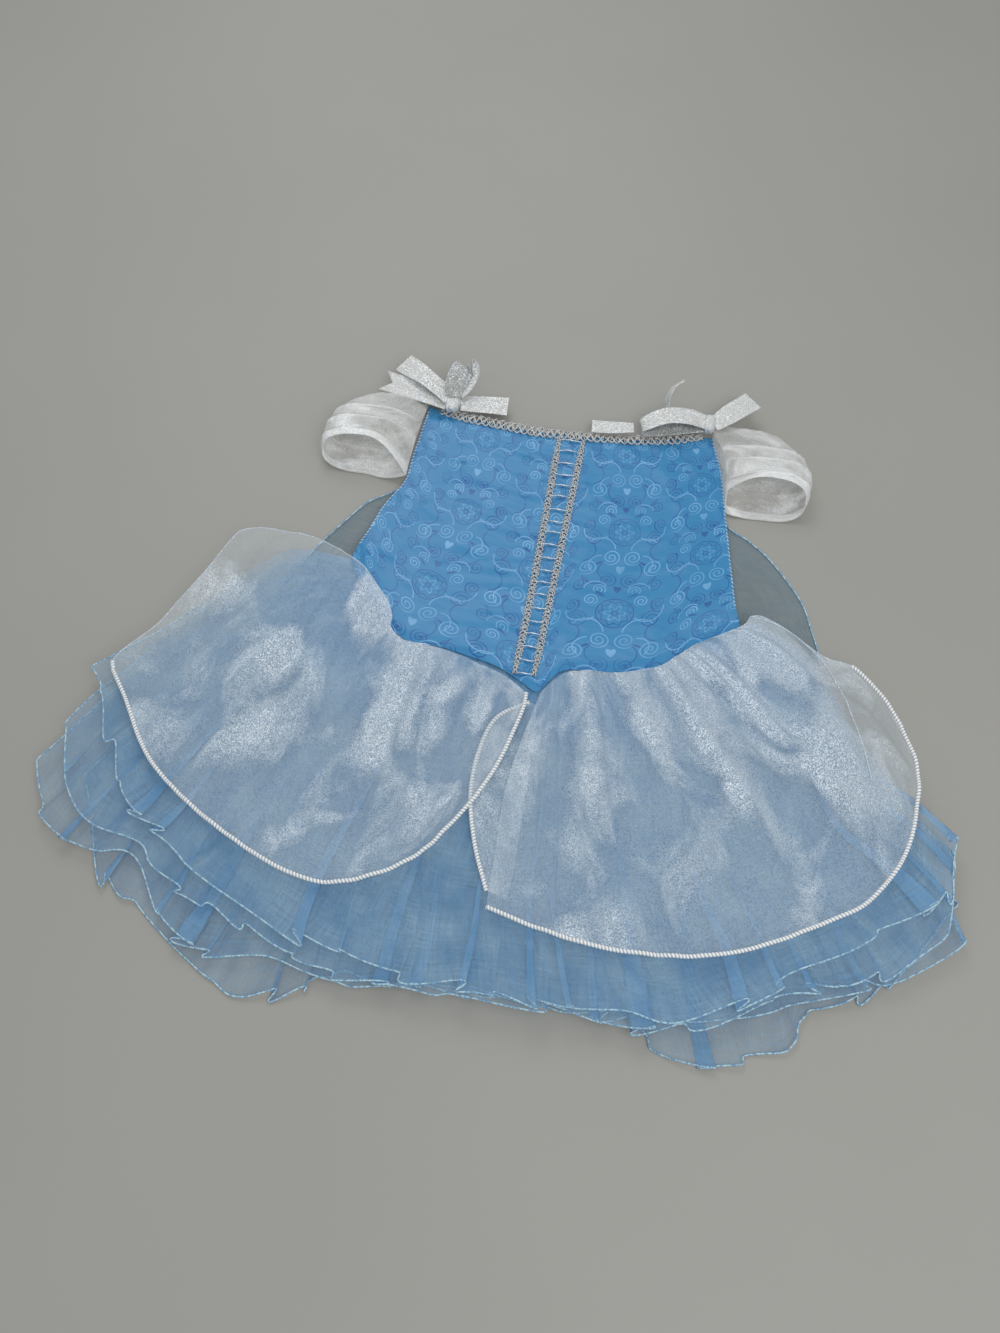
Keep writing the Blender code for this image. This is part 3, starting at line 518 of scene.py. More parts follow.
spot = add(tree, "SeparateXYZ", add(tree, "VectorMath", uv, (PRINT_UNITS,) * 3, operation="MULTIPLY"))
column = add(tree, "Math", spot.outputs[0], 1 / REPEAT_X, 0.5, operation="MULTIPLY_ADD")
odd = add(tree, "Math", add(tree, "Math", column, operation="FLOOR"), 2.0, operation="FLOORED_MODULO")
lowered = add(tree, "Math", odd, REPEAT_Y / 2, spot.outputs[1], operation="MULTIPLY_ADD")
mirror = add(tree, "Math", add(tree, "Math", spot.outputs[0], REPEAT_X / 2, -REPEAT_X / 2,
                               operation="WRAP"), operation="ABSOLUTE")
upright = add(tree, "Math", lowered, REPEAT_Y / 2, -REPEAT_Y / 2, operation="WRAP")
upright = add(tree, "Math", upright, -1.0, operation="MULTIPLY")
here = add(tree, "CombineXYZ", mirror, upright, 0.0)
inks = {"light": None, "dark": None}
for kind, px, py, size, second, turn, ink in STAMPS:
    away = add(tree, "VectorMath", here, (px, py, 0.0), operation="SUBTRACT")
    far = add(tree, "VectorMath", away, operation="LENGTH").outputs["Value"]
    apart = add(tree, "SeparateXYZ", away)
    angle = add(tree, "Math", apart.outputs[1], apart.outputs[0], operation="ARCTAN2")
    if kind == "ring":
        gap = add(tree, "Math", add(tree, "Math", far, size, operation="SUBTRACT"), operation="ABSOLUTE")
        mark = add(tree, "Math", gap, INK_LINE, operation="LESS_THAN")
    elif kind == "arc":
        gap = add(tree, "Math", add(tree, "Math", far, size, operation="SUBTRACT"), operation="ABSOLUTE")
        mark = add(tree, "Math", gap, INK_LINE, operation="LESS_THAN")
        half = add(tree, "VectorMath", away, (second, turn, 0.0), operation="DOT_PRODUCT").outputs["Value"]
        half = add(tree, "Math", half, 0.35 * size, operation="GREATER_THAN")
        mark = add(tree, "Math", mark, half, operation="MULTIPLY")
    elif kind == "rosette":
        lobes = add(tree, "Math", add(tree, "Math", angle, float(turn), operation="MULTIPLY"),
                    operation="COSINE")
        edge = add(tree, "Math", lobes, float(second), float(size), operation="MULTIPLY_ADD")
        gap = add(tree, "Math", add(tree, "Math", far, edge, operation="SUBTRACT"), operation="ABSOLUTE")
        mark = add(tree, "Math", gap, INK_LINE, operation="LESS_THAN")
    elif kind == "spiral":
        wound = add(tree, "Math", angle, -turn / (2 * math.pi), operation="MULTIPLY")
        arm = add(tree, "Math", far, 1 / second, wound, operation="MULTIPLY_ADD")
        arm = add(tree, "Math", add(tree, "Math", arm, operation="FRACT"), 0.5, operation="SUBTRACT")
        arm = add(tree, "Math", add(tree, "Math", arm, operation="ABSOLUTE"), INK_LINE / second,
                  operation="LESS_THAN")
        within = add(tree, "Math", far, size / 2 + 0.3, size / 2 - 0.3, operation="COMPARE")
        mark = add(tree, "Math", arm, within, operation="MULTIPLY")
    elif kind == "heart":
        lobe = add(tree, "Math", add(tree, "Math", apart.outputs[0], operation="ABSOLUTE"), -0.75,
                   apart.outputs[1], operation="MULTIPLY_ADD")
        round_off = add(tree, "VectorMath", add(tree, "CombineXYZ", apart.outputs[0], lobe, 0.0),
                        operation="LENGTH").outputs["Value"]
        mark = add(tree, "Math", round_off, float(size), operation="LESS_THAN")
    else:
        c, s = math.cos(turn), math.sin(turn)
        along = add(tree, "VectorMath", away, (c / size, s / size, 0.0),
                    operation="DOT_PRODUCT").outputs["Value"]
        beside = add(tree, "VectorMath", away, (-s / second, c / second, 0.0),
                     operation="DOT_PRODUCT").outputs["Value"]
        squared = add(tree, "Math", along, along, operation="MULTIPLY")
        reach_out = add(tree, "Math", add(tree, "Math", beside, operation="ABSOLUTE"), squared,
                        operation="ADD")
        mark = add(tree, "Math", reach_out, 1.0, operation="LESS_THAN")
    inks[ink] = mark if inks[ink] is None else add(tree, "Math", inks[ink], mark, operation="MAXIMUM")
float_lines = add(tree, "Mapping", uv, named={"Scale": (100 / 20.0, 100 / 0.9, 1.0)})
float_lines = add(tree, "TexNoise", float_lines, named={"Scale": 1.0, "Detail": 2.0})
ground = add(tree, "Mix", data_type="RGBA",
             named={0: float_lines, 6: linear("#2e7bae"), 7: linear("#428fbe")})
worn = add(tree, "TexNoise", uv, named={"Scale": 6.0, "Detail": 2.0})
fade = add(tree, "MapRange", worn, 0.3, 0.7, 0.45, 0.95)
dark_share = add(tree, "Math", inks["dark"], fade, operation="MULTIPLY")
light_share = add(tree, "Math", inks["light"], fade, operation="MULTIPLY")
tone = add(tree, "Mix", data_type="RGBA", named={0: dark_share, 6: ground.outputs[2], 7: linear("#2a5699")})
tone = add(tree, "Mix", data_type="RGBA", named={0: light_share, 6: tone.outputs[2], 7: linear("#7db3de")})
tree.links.new(tone.outputs[2], shader.inputs["Base Color"])
bump = add(tree, "Bump", named={"Strength": 0.3, "Distance": 0.0002, "Height": float_lines})
tree.links.new(bump.outputs[0], shader.inputs["Normal"])
shader.inputs["Sheen Weight"].default_value = 0.12
shader.inputs["Sheen Roughness"].default_value = 0.3
shader.inputs["Specular IOR Level"].default_value = 0.4

plan = panel(NECKLINE, BODICE_LEFT, BODICE_RIGHT, FRONT_WAIST, 170, 170)
x, y = plan[..., 0], plan[..., 1]
satin = np.dstack([plan, satin_height(x, y)])
bodice_front = piece("bodice_front_printed_satin", [grid_part(satin, (285, 215))], print_look,
                     ["bodice_front"])

# White polyester overlock: short slanting stitches over the satin's side edges.
stitch_look, tree, shader = new_material("polyester_thread_spun_white", "#e8ecef", 0.5)
fuzz = add(tree, "TexNoise", add(tree, "UVMap"), named={"Scale": 150.0, "Detail": 2.0})
bump = add(tree, "Bump", named={"Strength": 0.5, "Distance": 0.0002, "Height": fuzz})
tree.links.new(bump.outputs[0], shader.inputs["Normal"])
tone = add(tree, "Mix", data_type="RGBA", named={0: fuzz, 6: linear("#cfd8e2"), 7: linear("#f6f8fa")})
tree.links.new(tone.outputs[2], shader.inputs["Base Color"])
stitches = []
for border, inwards in ((BODICE_LEFT, 1), (BODICE_RIGHT, -1)):
    line = smooth_line(border, 52)[2:-6]
    for px, py in line:
        run = np.array([(px - 0.2 * inwards, py - 0.9), (px + 0.7 * inwards, py),
                        (px + 1.5 * inwards, py + 0.9)])
        lift = satin_height(run[:, 0], run[:, 1]) + 0.1
        stitches.append(tube(np.column_stack([run, lift]), np.array([[0.2], [0.34], [0.2]]), 6))
piece("bodice_side_stitches", stitches, stitch_look)

# Petals
# Two overskirt petals of white organza woven with foil specks, gathered into the waist and
# edged with a thick white overlocked cord. Part of the right one's edge is turned under.
PETAL_LEFT_TOP = [(-229, 102), (-209, 101), (-190, 100), (-171, 94), (-154, 86),
                  (-141, 78), (-126, 60), (-117, 50), (-111, 38), (-110, 28),
                  (-98, 19), (-81, 17), (-62, 14), (-42, 8), (-25, 2), (-11, -5),
                  (-1, -13)]
PETAL_LEFT_SIDE = [(-229, 102), (-241, 97), (-247, 89), (-263, 46), (-282, 2),
                   (-304, -31), (-303, -43)]
PETAL_LEFT_HEM = [(-303, -43), (-285, -67), (-265, -97), (-244, -119), (-208, -144),
                  (-167, -165), (-137, -176), (-109, -178), (-78, -166), (-54, -148),
                  (-38, -125), (-24, -101)]
PETAL_LEFT_CENTRE = [(-1, -13), (-1, -26), (-5, -46), (-12, -73), (-24, -101)]
PETAL_RIGHT_TOP = [(9, -11), (16, 0), (25, 10), (39, 13.7), (54, 14.7), (68, 16.3), (83, 22),
                   (95, 26.5), (107, 38.5), (118, 49), (127, 55), (139, 61.6), (153, 69),
                   (158, 79)]
PETAL_RIGHT_SIDE = [(158, 79), (167, 80), (186, 70), (201, 60), (215, 51), (235, 46),
                    (254, 25), (268, 1)]
PETAL_RIGHT_HEM = [(-4, -180), (26, -188), (73, -195), (130, -192), (174, -179),
                   (219, -155), (244, -138), (268, -102), (278, -60), (278, -30),
                   (268, 1)]
PETAL_RIGHT_CENTRE = [(9, -12), (6, -30), (-1, -70), (-4, -108), (-3, -151), (-4, -180)]
TURN_TOP = [(2, -19), (8, -21)]
TURN_LEFT = [(2, -19), (-20, -36), (-28, -66), (-28, -100), (-19, -136), (-6, -168)]
TURN_RIGHT = [(8, -21), (9, -45), (10, -80), (10, -120), (10, -150), (8, -172)]
TURN_HEM = [(-6, -168), (8, -172)]
TURN_LOW = (7.2, 17.6)
PETAL_CORD = 1.4
# Largest folds: from x, y to x, y, height, width to its left and right
PETAL_LEFT_FOLDS = [
    (-165, 92, -262, 20, 6.0, 26, 26),
    (-128, 56, -200, -40, 9.0, 22, 20),
    (-150, 0, -205, -96, 4.0, 14, 18),
    (-84, 12, -120, -120, 5.0, 13, 16),
    (-58, 8, -62, -96, 4.0, 10, 12),
    (-28, -2, -34, -70, 3.5, 9, 9),
]
PETAL_RIGHT_FOLDS = [
    (150, 74, 206, 24, 9.0, 30, 13),
    (206, 24, 244, -66, 9.0, 30, 13),
    (44, 10, 58, -120, 5.0, 14, 12),
    (72, 14, 110, -60, 5.0, 13, 13),
    (100, 28, 176, -96, 6.0, 16, 16),
    (14, -14, 6, -120, 4.0, 10, 13),
    (120, 44, 200, -30, 4.5, 14, 12),
]


def fold_heights(x, y, folds):
    """Soft ridges along straight runs: height exp(-(side / width)^2), fading to both ends."""
    total = np.zeros_like(x)
    for x0, y0, x1, y1, height, wide_left, wide_right in folds:
        run = np.array([x1 - x0, y1 - y0], float)
        length = np.hypot(*run)
        run /= length
        along = ((x - x0) * run[0] + (y - y0) * run[1]) / length
        side = (x - x0) * run[1] - (y - y0) * run[0]
        wide = np.where(side > 0, wide_left, wide_right)
        ends = np.clip(1.15 - np.abs(along - 0.5) * 1.55, 0, 1)
        total = np.maximum(total, height * ends * np.exp(-(side / wide) ** 2))
    return total


def petal_cloth(top, left, right, hem, folds, gathers, phase, seed):
    """Petal: slab level, broad folds, the listed ridges, gathers that fade from the waist, a puff
    just below it, and fine creases; the gathers lean a little over each other."""
    plan = panel(top, left, right, hem, 150, 300)
    x, y = plan[..., 0], plan[..., 1]
    u, v = np.linspace(0, 1, plan.shape[1])[None, :], np.linspace(0, 1, plan.shape[0])[:, None]
    turn = pleat_turns(u, gathers, 0.3, phase) + 0.25 * np.sin(2 * math.pi * (1.1 * v + 2.3 * u)) * v
    height = 0.5 - 0.5 * np.cos(2 * math.pi * turn)
    small = (0.5 - 0.5 * np.cos(2 * math.pi * (1.7 * turn + 0.6 * v))) * np.exp(-v / 0.16)
    low = level(PETAL_LOW, x, y) + broad_folds(x, y) + fold_heights(x, y, folds)
    low = low + 3.4 * np.exp(-((v - 0.17) / 0.15) ** 2) * (0.45 + 0.55 * height)
    low = low + 1.6 * height * v + 0.5 * small
    low = low + 3.4 * crumple(x, y, 34, seed) * np.minimum(1, 4 * v) * (1 - 0.8 * v ** 6)
    plan = lean_over(plan, (height - 0.5) * 1.6 * (0.1 + v) * (1 - v ** 8), 2.4 + 0 * u)
    return plan, low, u, v


def glitter_cloth(name, body, warm, grain, share, thin, thick, patch, edge):
    """Organza woven with foil specks. A cell of grain mm is a speck where its random number is in the
    top share, each tilted its own way. Patches of patch mm, with limits edge and raised where the
    fold mark is high, are painted highlight: opacity goes from thin to thick in them, and their
    specks are painted brighter. Specks are really 0.3 mm, and are drawn a little larger to show."""
    made, tree, shader = new_material(name, body, 0.5)
    uv = add(tree, "UVMap")
    cells = add(tree, "TexVoronoi", uv, named={"Scale": 100 / grain}, voronoi_dimensions="2D")
    pick = add(tree, "SeparateColor", cells.outputs["Color"])
    speck = add(tree, "Math", pick.outputs[0], 1 - share, operation="GREATER_THAN")
    cloudy = add(tree, "Mapping", uv, named={"Scale": (100 / patch[0], 100 / patch[1], 1.0)})
    cloudy = add(tree, "TexNoise", cloudy, named={"Scale": 1.0, "Detail": 4.5, "Roughness": 0.55,
                                                 "Distortion": 0.8})
    fold_light = add(tree, "Attribute", attribute_name="fold_and_light_mark")
    cloudy = add(tree, "Math", fold_light.outputs["Fac"], 0.24, cloudy, operation="MULTIPLY_ADD")
    # Painted highlight: the patches where specks shine brighter and the cloth shows thicker.
    highlight_patch = add(tree, "MapRange", cloudy, edge[0], edge[1], 0.0, 1.0)
    lit = add(tree, "Math", speck, add(tree, "Math", highlight_patch, 0.55, 0.26, operation="MULTIPLY_ADD"),
              operation="MULTIPLY")
    veil = add(tree, "Math", highlight_patch, thick - thin, thin, operation="MULTIPLY_ADD")
    jitter = add(tree, "Math", pick.outputs[1], 0.22, -0.11, operation="MULTIPLY_ADD")
    veil = add(tree, "Math", veil, jitter, operation="ADD")
    alpha = add(tree, "Math", veil, lit, operation="MAXIMUM", use_clamp=True)
    tree.links.new(alpha.outputs[0], shader.inputs["Alpha"])
    tint = add(tree, "ValToRGB", pick.outputs[2])
    ramp = tint.color_ramp
    ramp.elements[0].color, ramp.elements[1].color = linear("#f4f7fb"), linear(warm)
    for position, colour in ((0.35, "#dce9f6"), (0.6, "#ffffff"), (0.8, "#dde8f0")):
        ramp.elements.new(position).color = linear(colour)
    tone = add(tree, "Mix", data_type="RGBA", named={0: lit, 6: linear(body), 7: tint})
    tree.links.new(tone.outputs[2], shader.inputs["Base Color"])
    metal = add(tree, "Math", lit, 0.35, operation="MULTIPLY")
    tree.links.new(metal.outputs[0], shader.inputs["Metallic"])
    rough = add(tree, "MapRange", lit, 0.0, 1.0, 0.5, 0.3)
    tree.links.new(rough.outputs[0], shader.inputs["Roughness"])
    tilt = add(tree, "Mix", data_type="RGBA",
               named={0: 0.34, 6: (0.5, 0.5, 1.0, 1.0), 7: cells.outputs["Color"]})
    tilt = add(tree, "NormalMap", named={"Strength": 0.8, "Color": tilt.outputs[2]})
    wrinkle = add(tree, "TexNoise", uv, named={"Scale": 14.0, "Detail": 4.0})
    bump = add(tree, "Bump", named={"Strength": 0.5, "Distance": 0.0012, "Height": wrinkle,
                                   "Normal": tilt})
    tree.links.new(bump.outputs[0], shader.inputs["Normal"])
    shader.inputs["Sheen Weight"].default_value = 0.4
    shader.inputs["Sheen Roughness"].default_value = 0.3
    return made


# Nylon organza with foil specks: silvery patches painted where folds are taken to face the light, on fold
# crests and in noise clouds, sheer between.
petal_look = glitter_cloth("nylon_organza_foil_speckled_white", "#d6e5ef", "#f3eee4", 0.6, 0.40,
                           0.19, 0.43, (50.0, 80.0), (0.46, 0.67))

# Polyester overlock cord: soft white, its thread wrapped slanting round a core. The grooves between its
# turns are painted grey as shade, the ridges white.
cord_look, tree, shader = new_material("polyester_cord_overlocked_white", "#eef1f4", 0.55)
uv = add(tree, "UVMap")
fuzz = add(tree, "TexNoise", uv, named={"Scale": 90.0, "Detail": 3.0})
ridge = add(tree, "Attribute", attribute_name="ridge")
# Painted shade: grey in the grooves between the wrapped turns, mixed with fibre noise.
fuzz_and_groove_shade = add(tree, "Math", fuzz, 0.5, ridge.outputs["Fac"], operation="MULTIPLY_ADD")
fuzz_and_groove_shade = add(tree, "MapRange", fuzz_and_groove_shade, 0.3, 1.0, 0.0, 1.0)
tone = add(tree, "Mix", data_type="RGBA", named={0: fuzz_and_groove_shade, 6: linear("#9faab5"), 7: linear("#faf9f4")})
tree.links.new(tone.outputs[2], shader.inputs["Base Color"])
bump = add(tree, "Bump", named={"Strength": 0.4, "Distance": 0.0003, "Height": fuzz})
tree.links.new(bump.outputs[0], shader.inputs["Normal"])
shader.inputs["Sheen Weight"].default_value = 0.3


def wrapped_cord(name, edge, radius):
    """Cord round an edge: radius swells by a seventh in ridges that slant round once each 2.4 mm."""
    length = np.linalg.norm(np.diff(edge, axis=0), axis=1).sum()
    path = smooth_line(edge, int(length / 0.5))
    run = np.linspace(0, length, len(path))[:, None]
    ridge = np.cos(2 * math.pi * run / 2.4 + np.arange(10)[None, :] * 2 * math.pi / 10)
    return piece(name, [tube(path, radius * (1 + 0.14 * ridge), 10)], cord_look,
                 marks={"ridge": 0.5 + 0.5 * ridge})


def folded_edge(name, edge, radius):
    """Thin soft roll where a petal's cloth turns back on itself: a round thread along the fold, its mark
    full, so that it is painted as a bright opaque highlight line.
    """
    length = np.linalg.norm(np.diff(edge, axis=0), axis=1).sum()
    part = tube(smooth_line(edge, int(length / 1.5)), radius, 8)
    return piece(name, [part], petal_look, marks={"fold_and_light_mark": np.ones(len(part[0]))})


plan, low, u, v = petal_cloth(PETAL_LEFT_TOP, PETAL_LEFT_SIDE, PETAL_LEFT_CENTRE, PETAL_LEFT_HEM,
                              PETAL_LEFT_FOLDS, 13, 0.2, 11)
x, y = plan[..., 0], plan[..., 1]
ear = np.exp(-(np.hypot(x + 134, y - 62) / 40) ** 4)
low = np.maximum(low, (bodice_low(x, y) + BODICE_CLOTH + 1.2) * (ear > 0.3)) + 2.5 * ear
cloth = np.dstack([plan, low + 1.2])
lobe = np.exp(-(np.hypot(x + 126, y - 44) / 26) ** 4)
bare = np.clip((y - 0.9 * (-x - 190) - 6) / 40, 0, 1) * np.clip((-x - 128) / 24, 0, 1)
# The mark paints highlight patches on the listed fold crests and on a bright lobe, and keeps them off a bare
# sheer part.
crest_highlight = 1.3 * fold_heights(x, y, PETAL_LEFT_FOLDS) / 6 * (1 - bare) + lobe - 1.2 * bare - 0.2
petal_left = piece("petal_left_glitter_organza", [grid_part(cloth, (420, 260))], petal_look,
                   ["petal_left"],
                   {"fold_and_light_mark": np.clip(crest_highlight + 0.3 * np.exp(-v / 0.08) * (1 - bare), -1, 1.3)})
edge = np.vstack([cloth[-8:-1, 0], cloth[-1], cloth[:-1, -1][::-1]])
cord = wrapped_cord("petal_left_cord", edge, PETAL_CORD)
roll = folded_edge("petal_left_folded_edge", np.vstack([cloth[0, :150][::-1], cloth[1:-6, 0]]), 0.5)

plan, low, u, v = petal_cloth(PETAL_RIGHT_TOP, PETAL_RIGHT_CENTRE, PETAL_RIGHT_SIDE, PETAL_RIGHT_HEM,
                              PETAL_RIGHT_FOLDS, 14, 0.55, 23)
cloth = np.dstack([plan, low + 1.4])
# The mark paints highlight patches on the listed fold crests.
crest_highlight = 1.4 * fold_heights(plan[..., 0], plan[..., 1], PETAL_RIGHT_FOLDS) / 7 - 0.2
petal_right = piece("petal_right_glitter_organza", [grid_part(cloth, (430, 250))], petal_look,
                    ["petal_right"],
                    {"fold_and_light_mark": np.clip(crest_highlight + 0.3 * np.exp(-v / 0.08) + 0 * u, -0.5, 1.3)})
edge = np.vstack([cloth[-1], cloth[88:-1, -1][::-1]])
cord = wrapped_cord("petal_right_cord", edge, PETAL_CORD)
roll = folded_edge("petal_right_folded_edge", np.vstack([cloth[0, 272:-1], cloth[:90, -1]]), 0.5)
fold = smooth_line([(158, 78), (180, 72), (203, 56), (222, 30), (236, -6), (246, -50)], 60)
near = np.array([np.argmin(np.hypot(plan[..., 0] - px, plan[..., 1] - py)) for px, py in fold])
fold = np.column_stack([fold, cloth[..., 2].ravel()[near] + 0.5])
crease = folded_edge("petal_right_fold_line", fold[::4], 0.55)

plan = panel(TURN_TOP, TURN_LEFT, TURN_RIGHT, TURN_HEM, 90, 24)
x, y = plan[..., 0], plan[..., 1]
cloth = np.dstack([plan, level(TURN_LOW, x, y) + broad_folds(x, y) + 0.6])
turned = piece("petal_right_turned_strip", [grid_part(cloth, (38, 175))], petal_look,
               ["petal_right_turned_edge"],
               {"fold_and_light_mark": np.full(x.size, 0.2)})
cord = wrapped_cord("petal_right_turned_cord", cloth[:, 0], PETAL_CORD)

# Sleeves
# Off-shoulder puffs of white organza with foil specks, folded in three tiers like tucks. The
# cuff is open towards the hem, and its edge is folded back inside in a band.
SLEEVES = {  # stations: y, x of the outer fold, height, set-back of the front wall; then the folds
    "sleeve_left": (
        [(268, -158, 6.0, 0.0), (262, -168, 9.0, 0.5), (255, -179, 13.0, 1.0), (246, -188, 18.0, 2.0),
         (236, -195, 21.5, 3.5), (227, -198, 23.5, 5.0), (216, -201, 25.5, 6.5), (205, -202, 27.0, 8.0),
         (195, -202, 28.5, 8.5), (187, -200, 28.0, 9.0)],
        (268, 230, 213, 194, 187), BODICE_LEFT),
    "sleeve_right": (
        [(269, 162, 7.0, 0.0), (263, 175, 10.0, 0.5), (253, 182, 15.0, 2.0), (243, 190, 19.5, 3.5),
         (232, 194, 23.0, 5.5), (221, 198, 25.0, 8.0), (209, 200, 26.5, 10.0),
         (198, 198, 28.5, 11.0), (191, 196, 28.0, 11.5)],
        (269, 235, 217, 199, 191), BODICE_RIGHT),
}
TIER_PUFF, TIER_OVERHANG, CUFF_BAND = 1.6, 1.6, 7.0
POINTED = {"sleeve_left": 0.85, "sleeve_right": -0.5}    # how sharply the cuff ends at the bodice
SLEEVE_POINTS = 132    # points round a sleeve
CUFF_SLANT = {"sleeve_left": 14.0, "sleeve_right": 3.0}
# Cream organza with foil specks, with painted highlight patches of 40 by 24 mm.
sleeve_look = glitter_cloth("nylon_organza_foil_speckled_cream", "#f7f5ef", "#fbf6ea", 0.55, 0.46,
                            0.22, 0.92, (40.0, 24.0), (0.38, 0.72))


def squared_off(wave, power):
    """Sine or cosine to a power, its sign kept: a power below 1 squares a circle off."""
    return np.sign(wave) * np.abs(wave) ** power


for node, (stations, tiers, border) in SLEEVES.items():
    # Each tier starts at a fold that stands out over the tier above, and sinks under the next.
    table = np.array(stations[::-1], float)
    turned, fall = np.linspace(0, 1, 7)[:-1], np.linspace(0, 1, 18)
    rows_y, rows_over, rows_puff, doubled_and_lit = [], [], [], []
    for first, last in zip(tiers, tiers[1:]):
        over = TIER_OVERHANG + 1.0 if first != tiers[0] else 0
        past = TIER_OVERHANG + 1.0 if last != tiers[-1] else 0
        rows_y += [first + 0.9 * (1 - turned), first - (first - last - 1.0) * fall]
        rows_over += [-over * (1 - turned), -past * fall ** 2]
        rows_puff += [TIER_PUFF * turned, TIER_PUFF * (1 - fall) ** 0.8]
        doubled_and_lit += [0.6 + 0.4 * turned, np.exp(-(first - last) * fall / 7.0)]
    band = np.linspace(0, 1, 10)[1:]
    rows_y = np.concatenate(rows_y + [tiers[-1] + 1.0 + (CUFF_BAND - 1.0) * band])
    rows_over = np.concatenate(rows_over + [0 * band])[:, None]
    rows_puff = np.concatenate(rows_puff + [0 * band])
    doubled_and_lit = np.concatenate(doubled_and_lit + [1 + 0 * band])
    tier_rows = len(turned) + len(fall)
    doubled_and_lit[-tier_rows - len(band):] = 1.0
    inset = np.concatenate([np.zeros(4 * tier_rows), np.minimum(1, band * 5) * 1.2])
    clear_y = np.clip(rows_y, table[0, 0], table[-1, 0])
    outer, high, back = (np.interp(clear_y, table[:, 0], table[:, k]) for k in (1, 2, 3))
    sign = math.copysign(1, stations[0][1])
    inner = at_side(border, rows_y) + 0.2 * sign
    turn = np.arange(SLEEVE_POINTS) * 2 * math.pi / SLEEVE_POINTS
    cos, sin = np.cos(turn)[None], np.sin(turn)[None]
    towards = np.clip(-cos, 0, 1)
    wide = squared_off(cos, 0.75 + 0.2 * towards)
    tall = squared_off(sin, 0.8 + POINTED[node] * towards)
    free = np.clip((cos + 0.75) / 1.2, 0, 1)
    free = free * free * (3 - 2 * free) * np.clip(0.6 + 0.7 * sin, 0, 1)
    wave = 1 + 0.22 * np.sin(9 * turn[None] + 0.05 * rows_y[:, None]) + 0.1 * np.sin(23 * turn[None])
    swell = rows_puff[:, None] * free * wave
    half = (np.abs(outer - inner) / 2 - inset)[:, None] + swell
    rise = (high / 2 - inset)[:, None] + swell
    near_cuff = np.clip((tiers[-1] + 34 - rows_y) / 34, 0, 1)[:, None] ** 2
    x = ((outer + inner) / 2)[:, None] + sign * half * wide
    y = rows_y[:, None] + rows_over * np.clip(1.6 * sin, 0, 1) + back[:, None] * tall
    y = y - CUFF_SLANT[node] * near_cuff * towards * (0.85 + 0.15 * sin)
    z = (high / 2)[:, None] + rise * tall
    z = np.maximum(z * (1 - 0.5 * towards ** 2 * near_cuff), 0.35 + inset[:, None])
    # The mark gives opacity and painted highlight on the tier folds and the cuff band, less on the side
    # towards the bodice away from the cuff.
    mark = doubled_and_lit[:, None] * (0.25 + 0.75 * free) - 0.35 * np.clip(-cos, 0, 1) * (1 - near_cuff)
    ring = np.dstack([x, y, z])
    if sign < 0:
        ring, mark = ring[:, ::-1], mark[:, ::-1]
    points, faces, uv_points = grid_part(ring, (230, 110), wrap=True)
    sleeve = piece(node + "_organza", [(points, faces[:-1], uv_points[:-SLEEVE_POINTS])], sleeve_look,
                   [node], {"fold_and_light_mark": np.clip(mark, -1, 1)})

# Neckline braid
# Silver gimp sewn along the neckline: two metal-wrapped strands cross over each other and
# leave a row of open loops, with a third running down the middle.
BRAID = [(-112, 251.5), (-87, 246), (-60, 242.7), (-26, 239.3), (1, 239.2),
         (34, 241.2), (67, 245.3), (100, 253.6), (110, 256)]
BRAID_HALF = 4.2
BRAID_PITCH = 8.4    # one full wave of a strand, two loops

# Metallised yarn, wrapped round a core: bright, with dark gaps between its turns.
gimp_look, tree, shader = new_material("metallised_yarn_wrapped_silver", "#d6d6d2", 0.34, 0.4)
uv = add(tree, "UVMap")
turns = add(tree, "Mapping", uv, named={"Scale": (100 / 3.0, 100 / 0.9, 1.0), "Rotation": (0, 0, 0.5)})
turns = add(tree, "TexWave", turns, named={"Scale": 0.31, "Distortion": 1.0, "Detail": 1.0},
            bands_direction="Y")
tone = add(tree, "Mix", data_type="RGBA", named={0: turns, 6: linear("#9b9e9f"), 7: linear("#f6f4ee")})
tree.links.new(tone.outputs[2], shader.inputs["Base Color"])
bump = add(tree, "Bump", named={"Strength": 0.7, "Distance": 0.0003, "Height": turns})
tree.links.new(bump.outputs[0], shader.inputs["Normal"])


def crossing_strands(line, half, pitch, count, radius, lift):
    """Strands that swing from edge to edge: across = half sin(2 pi s / pitch + phase), and height
    goes up and down twice as often, so that each passes over and then under the next."""
    length = np.linalg.norm(np.diff(line, axis=0), axis=1).sum()
    steps = int(length / pitch * 26)
    centre = smooth_line(line, steps)
    along = np.gradient(centre, axis=0)
    along /= np.linalg.norm(along, axis=1)[:, None]
    across = np.column_stack([-along[:, 1], along[:, 0]])
    run = np.linspace(0, length, steps + 1)
    ends = 0.5 + 0.5 * np.clip(np.minimum(run, length - run) / 22, 0, 1)
    parts = []
    for k in range(count):
        turn = 2 * math.pi * (run / pitch + k / count)
        spot = centre + across * (half * ends * np.sin(turn))[:, None]
        up = satin_height(spot[:, 0], spot[:, 1]) + lift + radius * (1.1 + 0.9 * np.sin(2 * turn + k))
        parts.append(tube(np.column_stack([spot, up]), radius, 6))
    return parts


strands = crossing_strands(BRAID, BRAID_HALF + 0.2, BRAID_PITCH * 2, 3, 0.78, 0.2)
strands += crossing_strands(BRAID, BRAID_HALF + 0.5, BRAID_PITCH * 0.8, 1, 0.42, 1.6)
piece("neckline_silver_gimp", strands, gimp_look, ["neck_braid"])

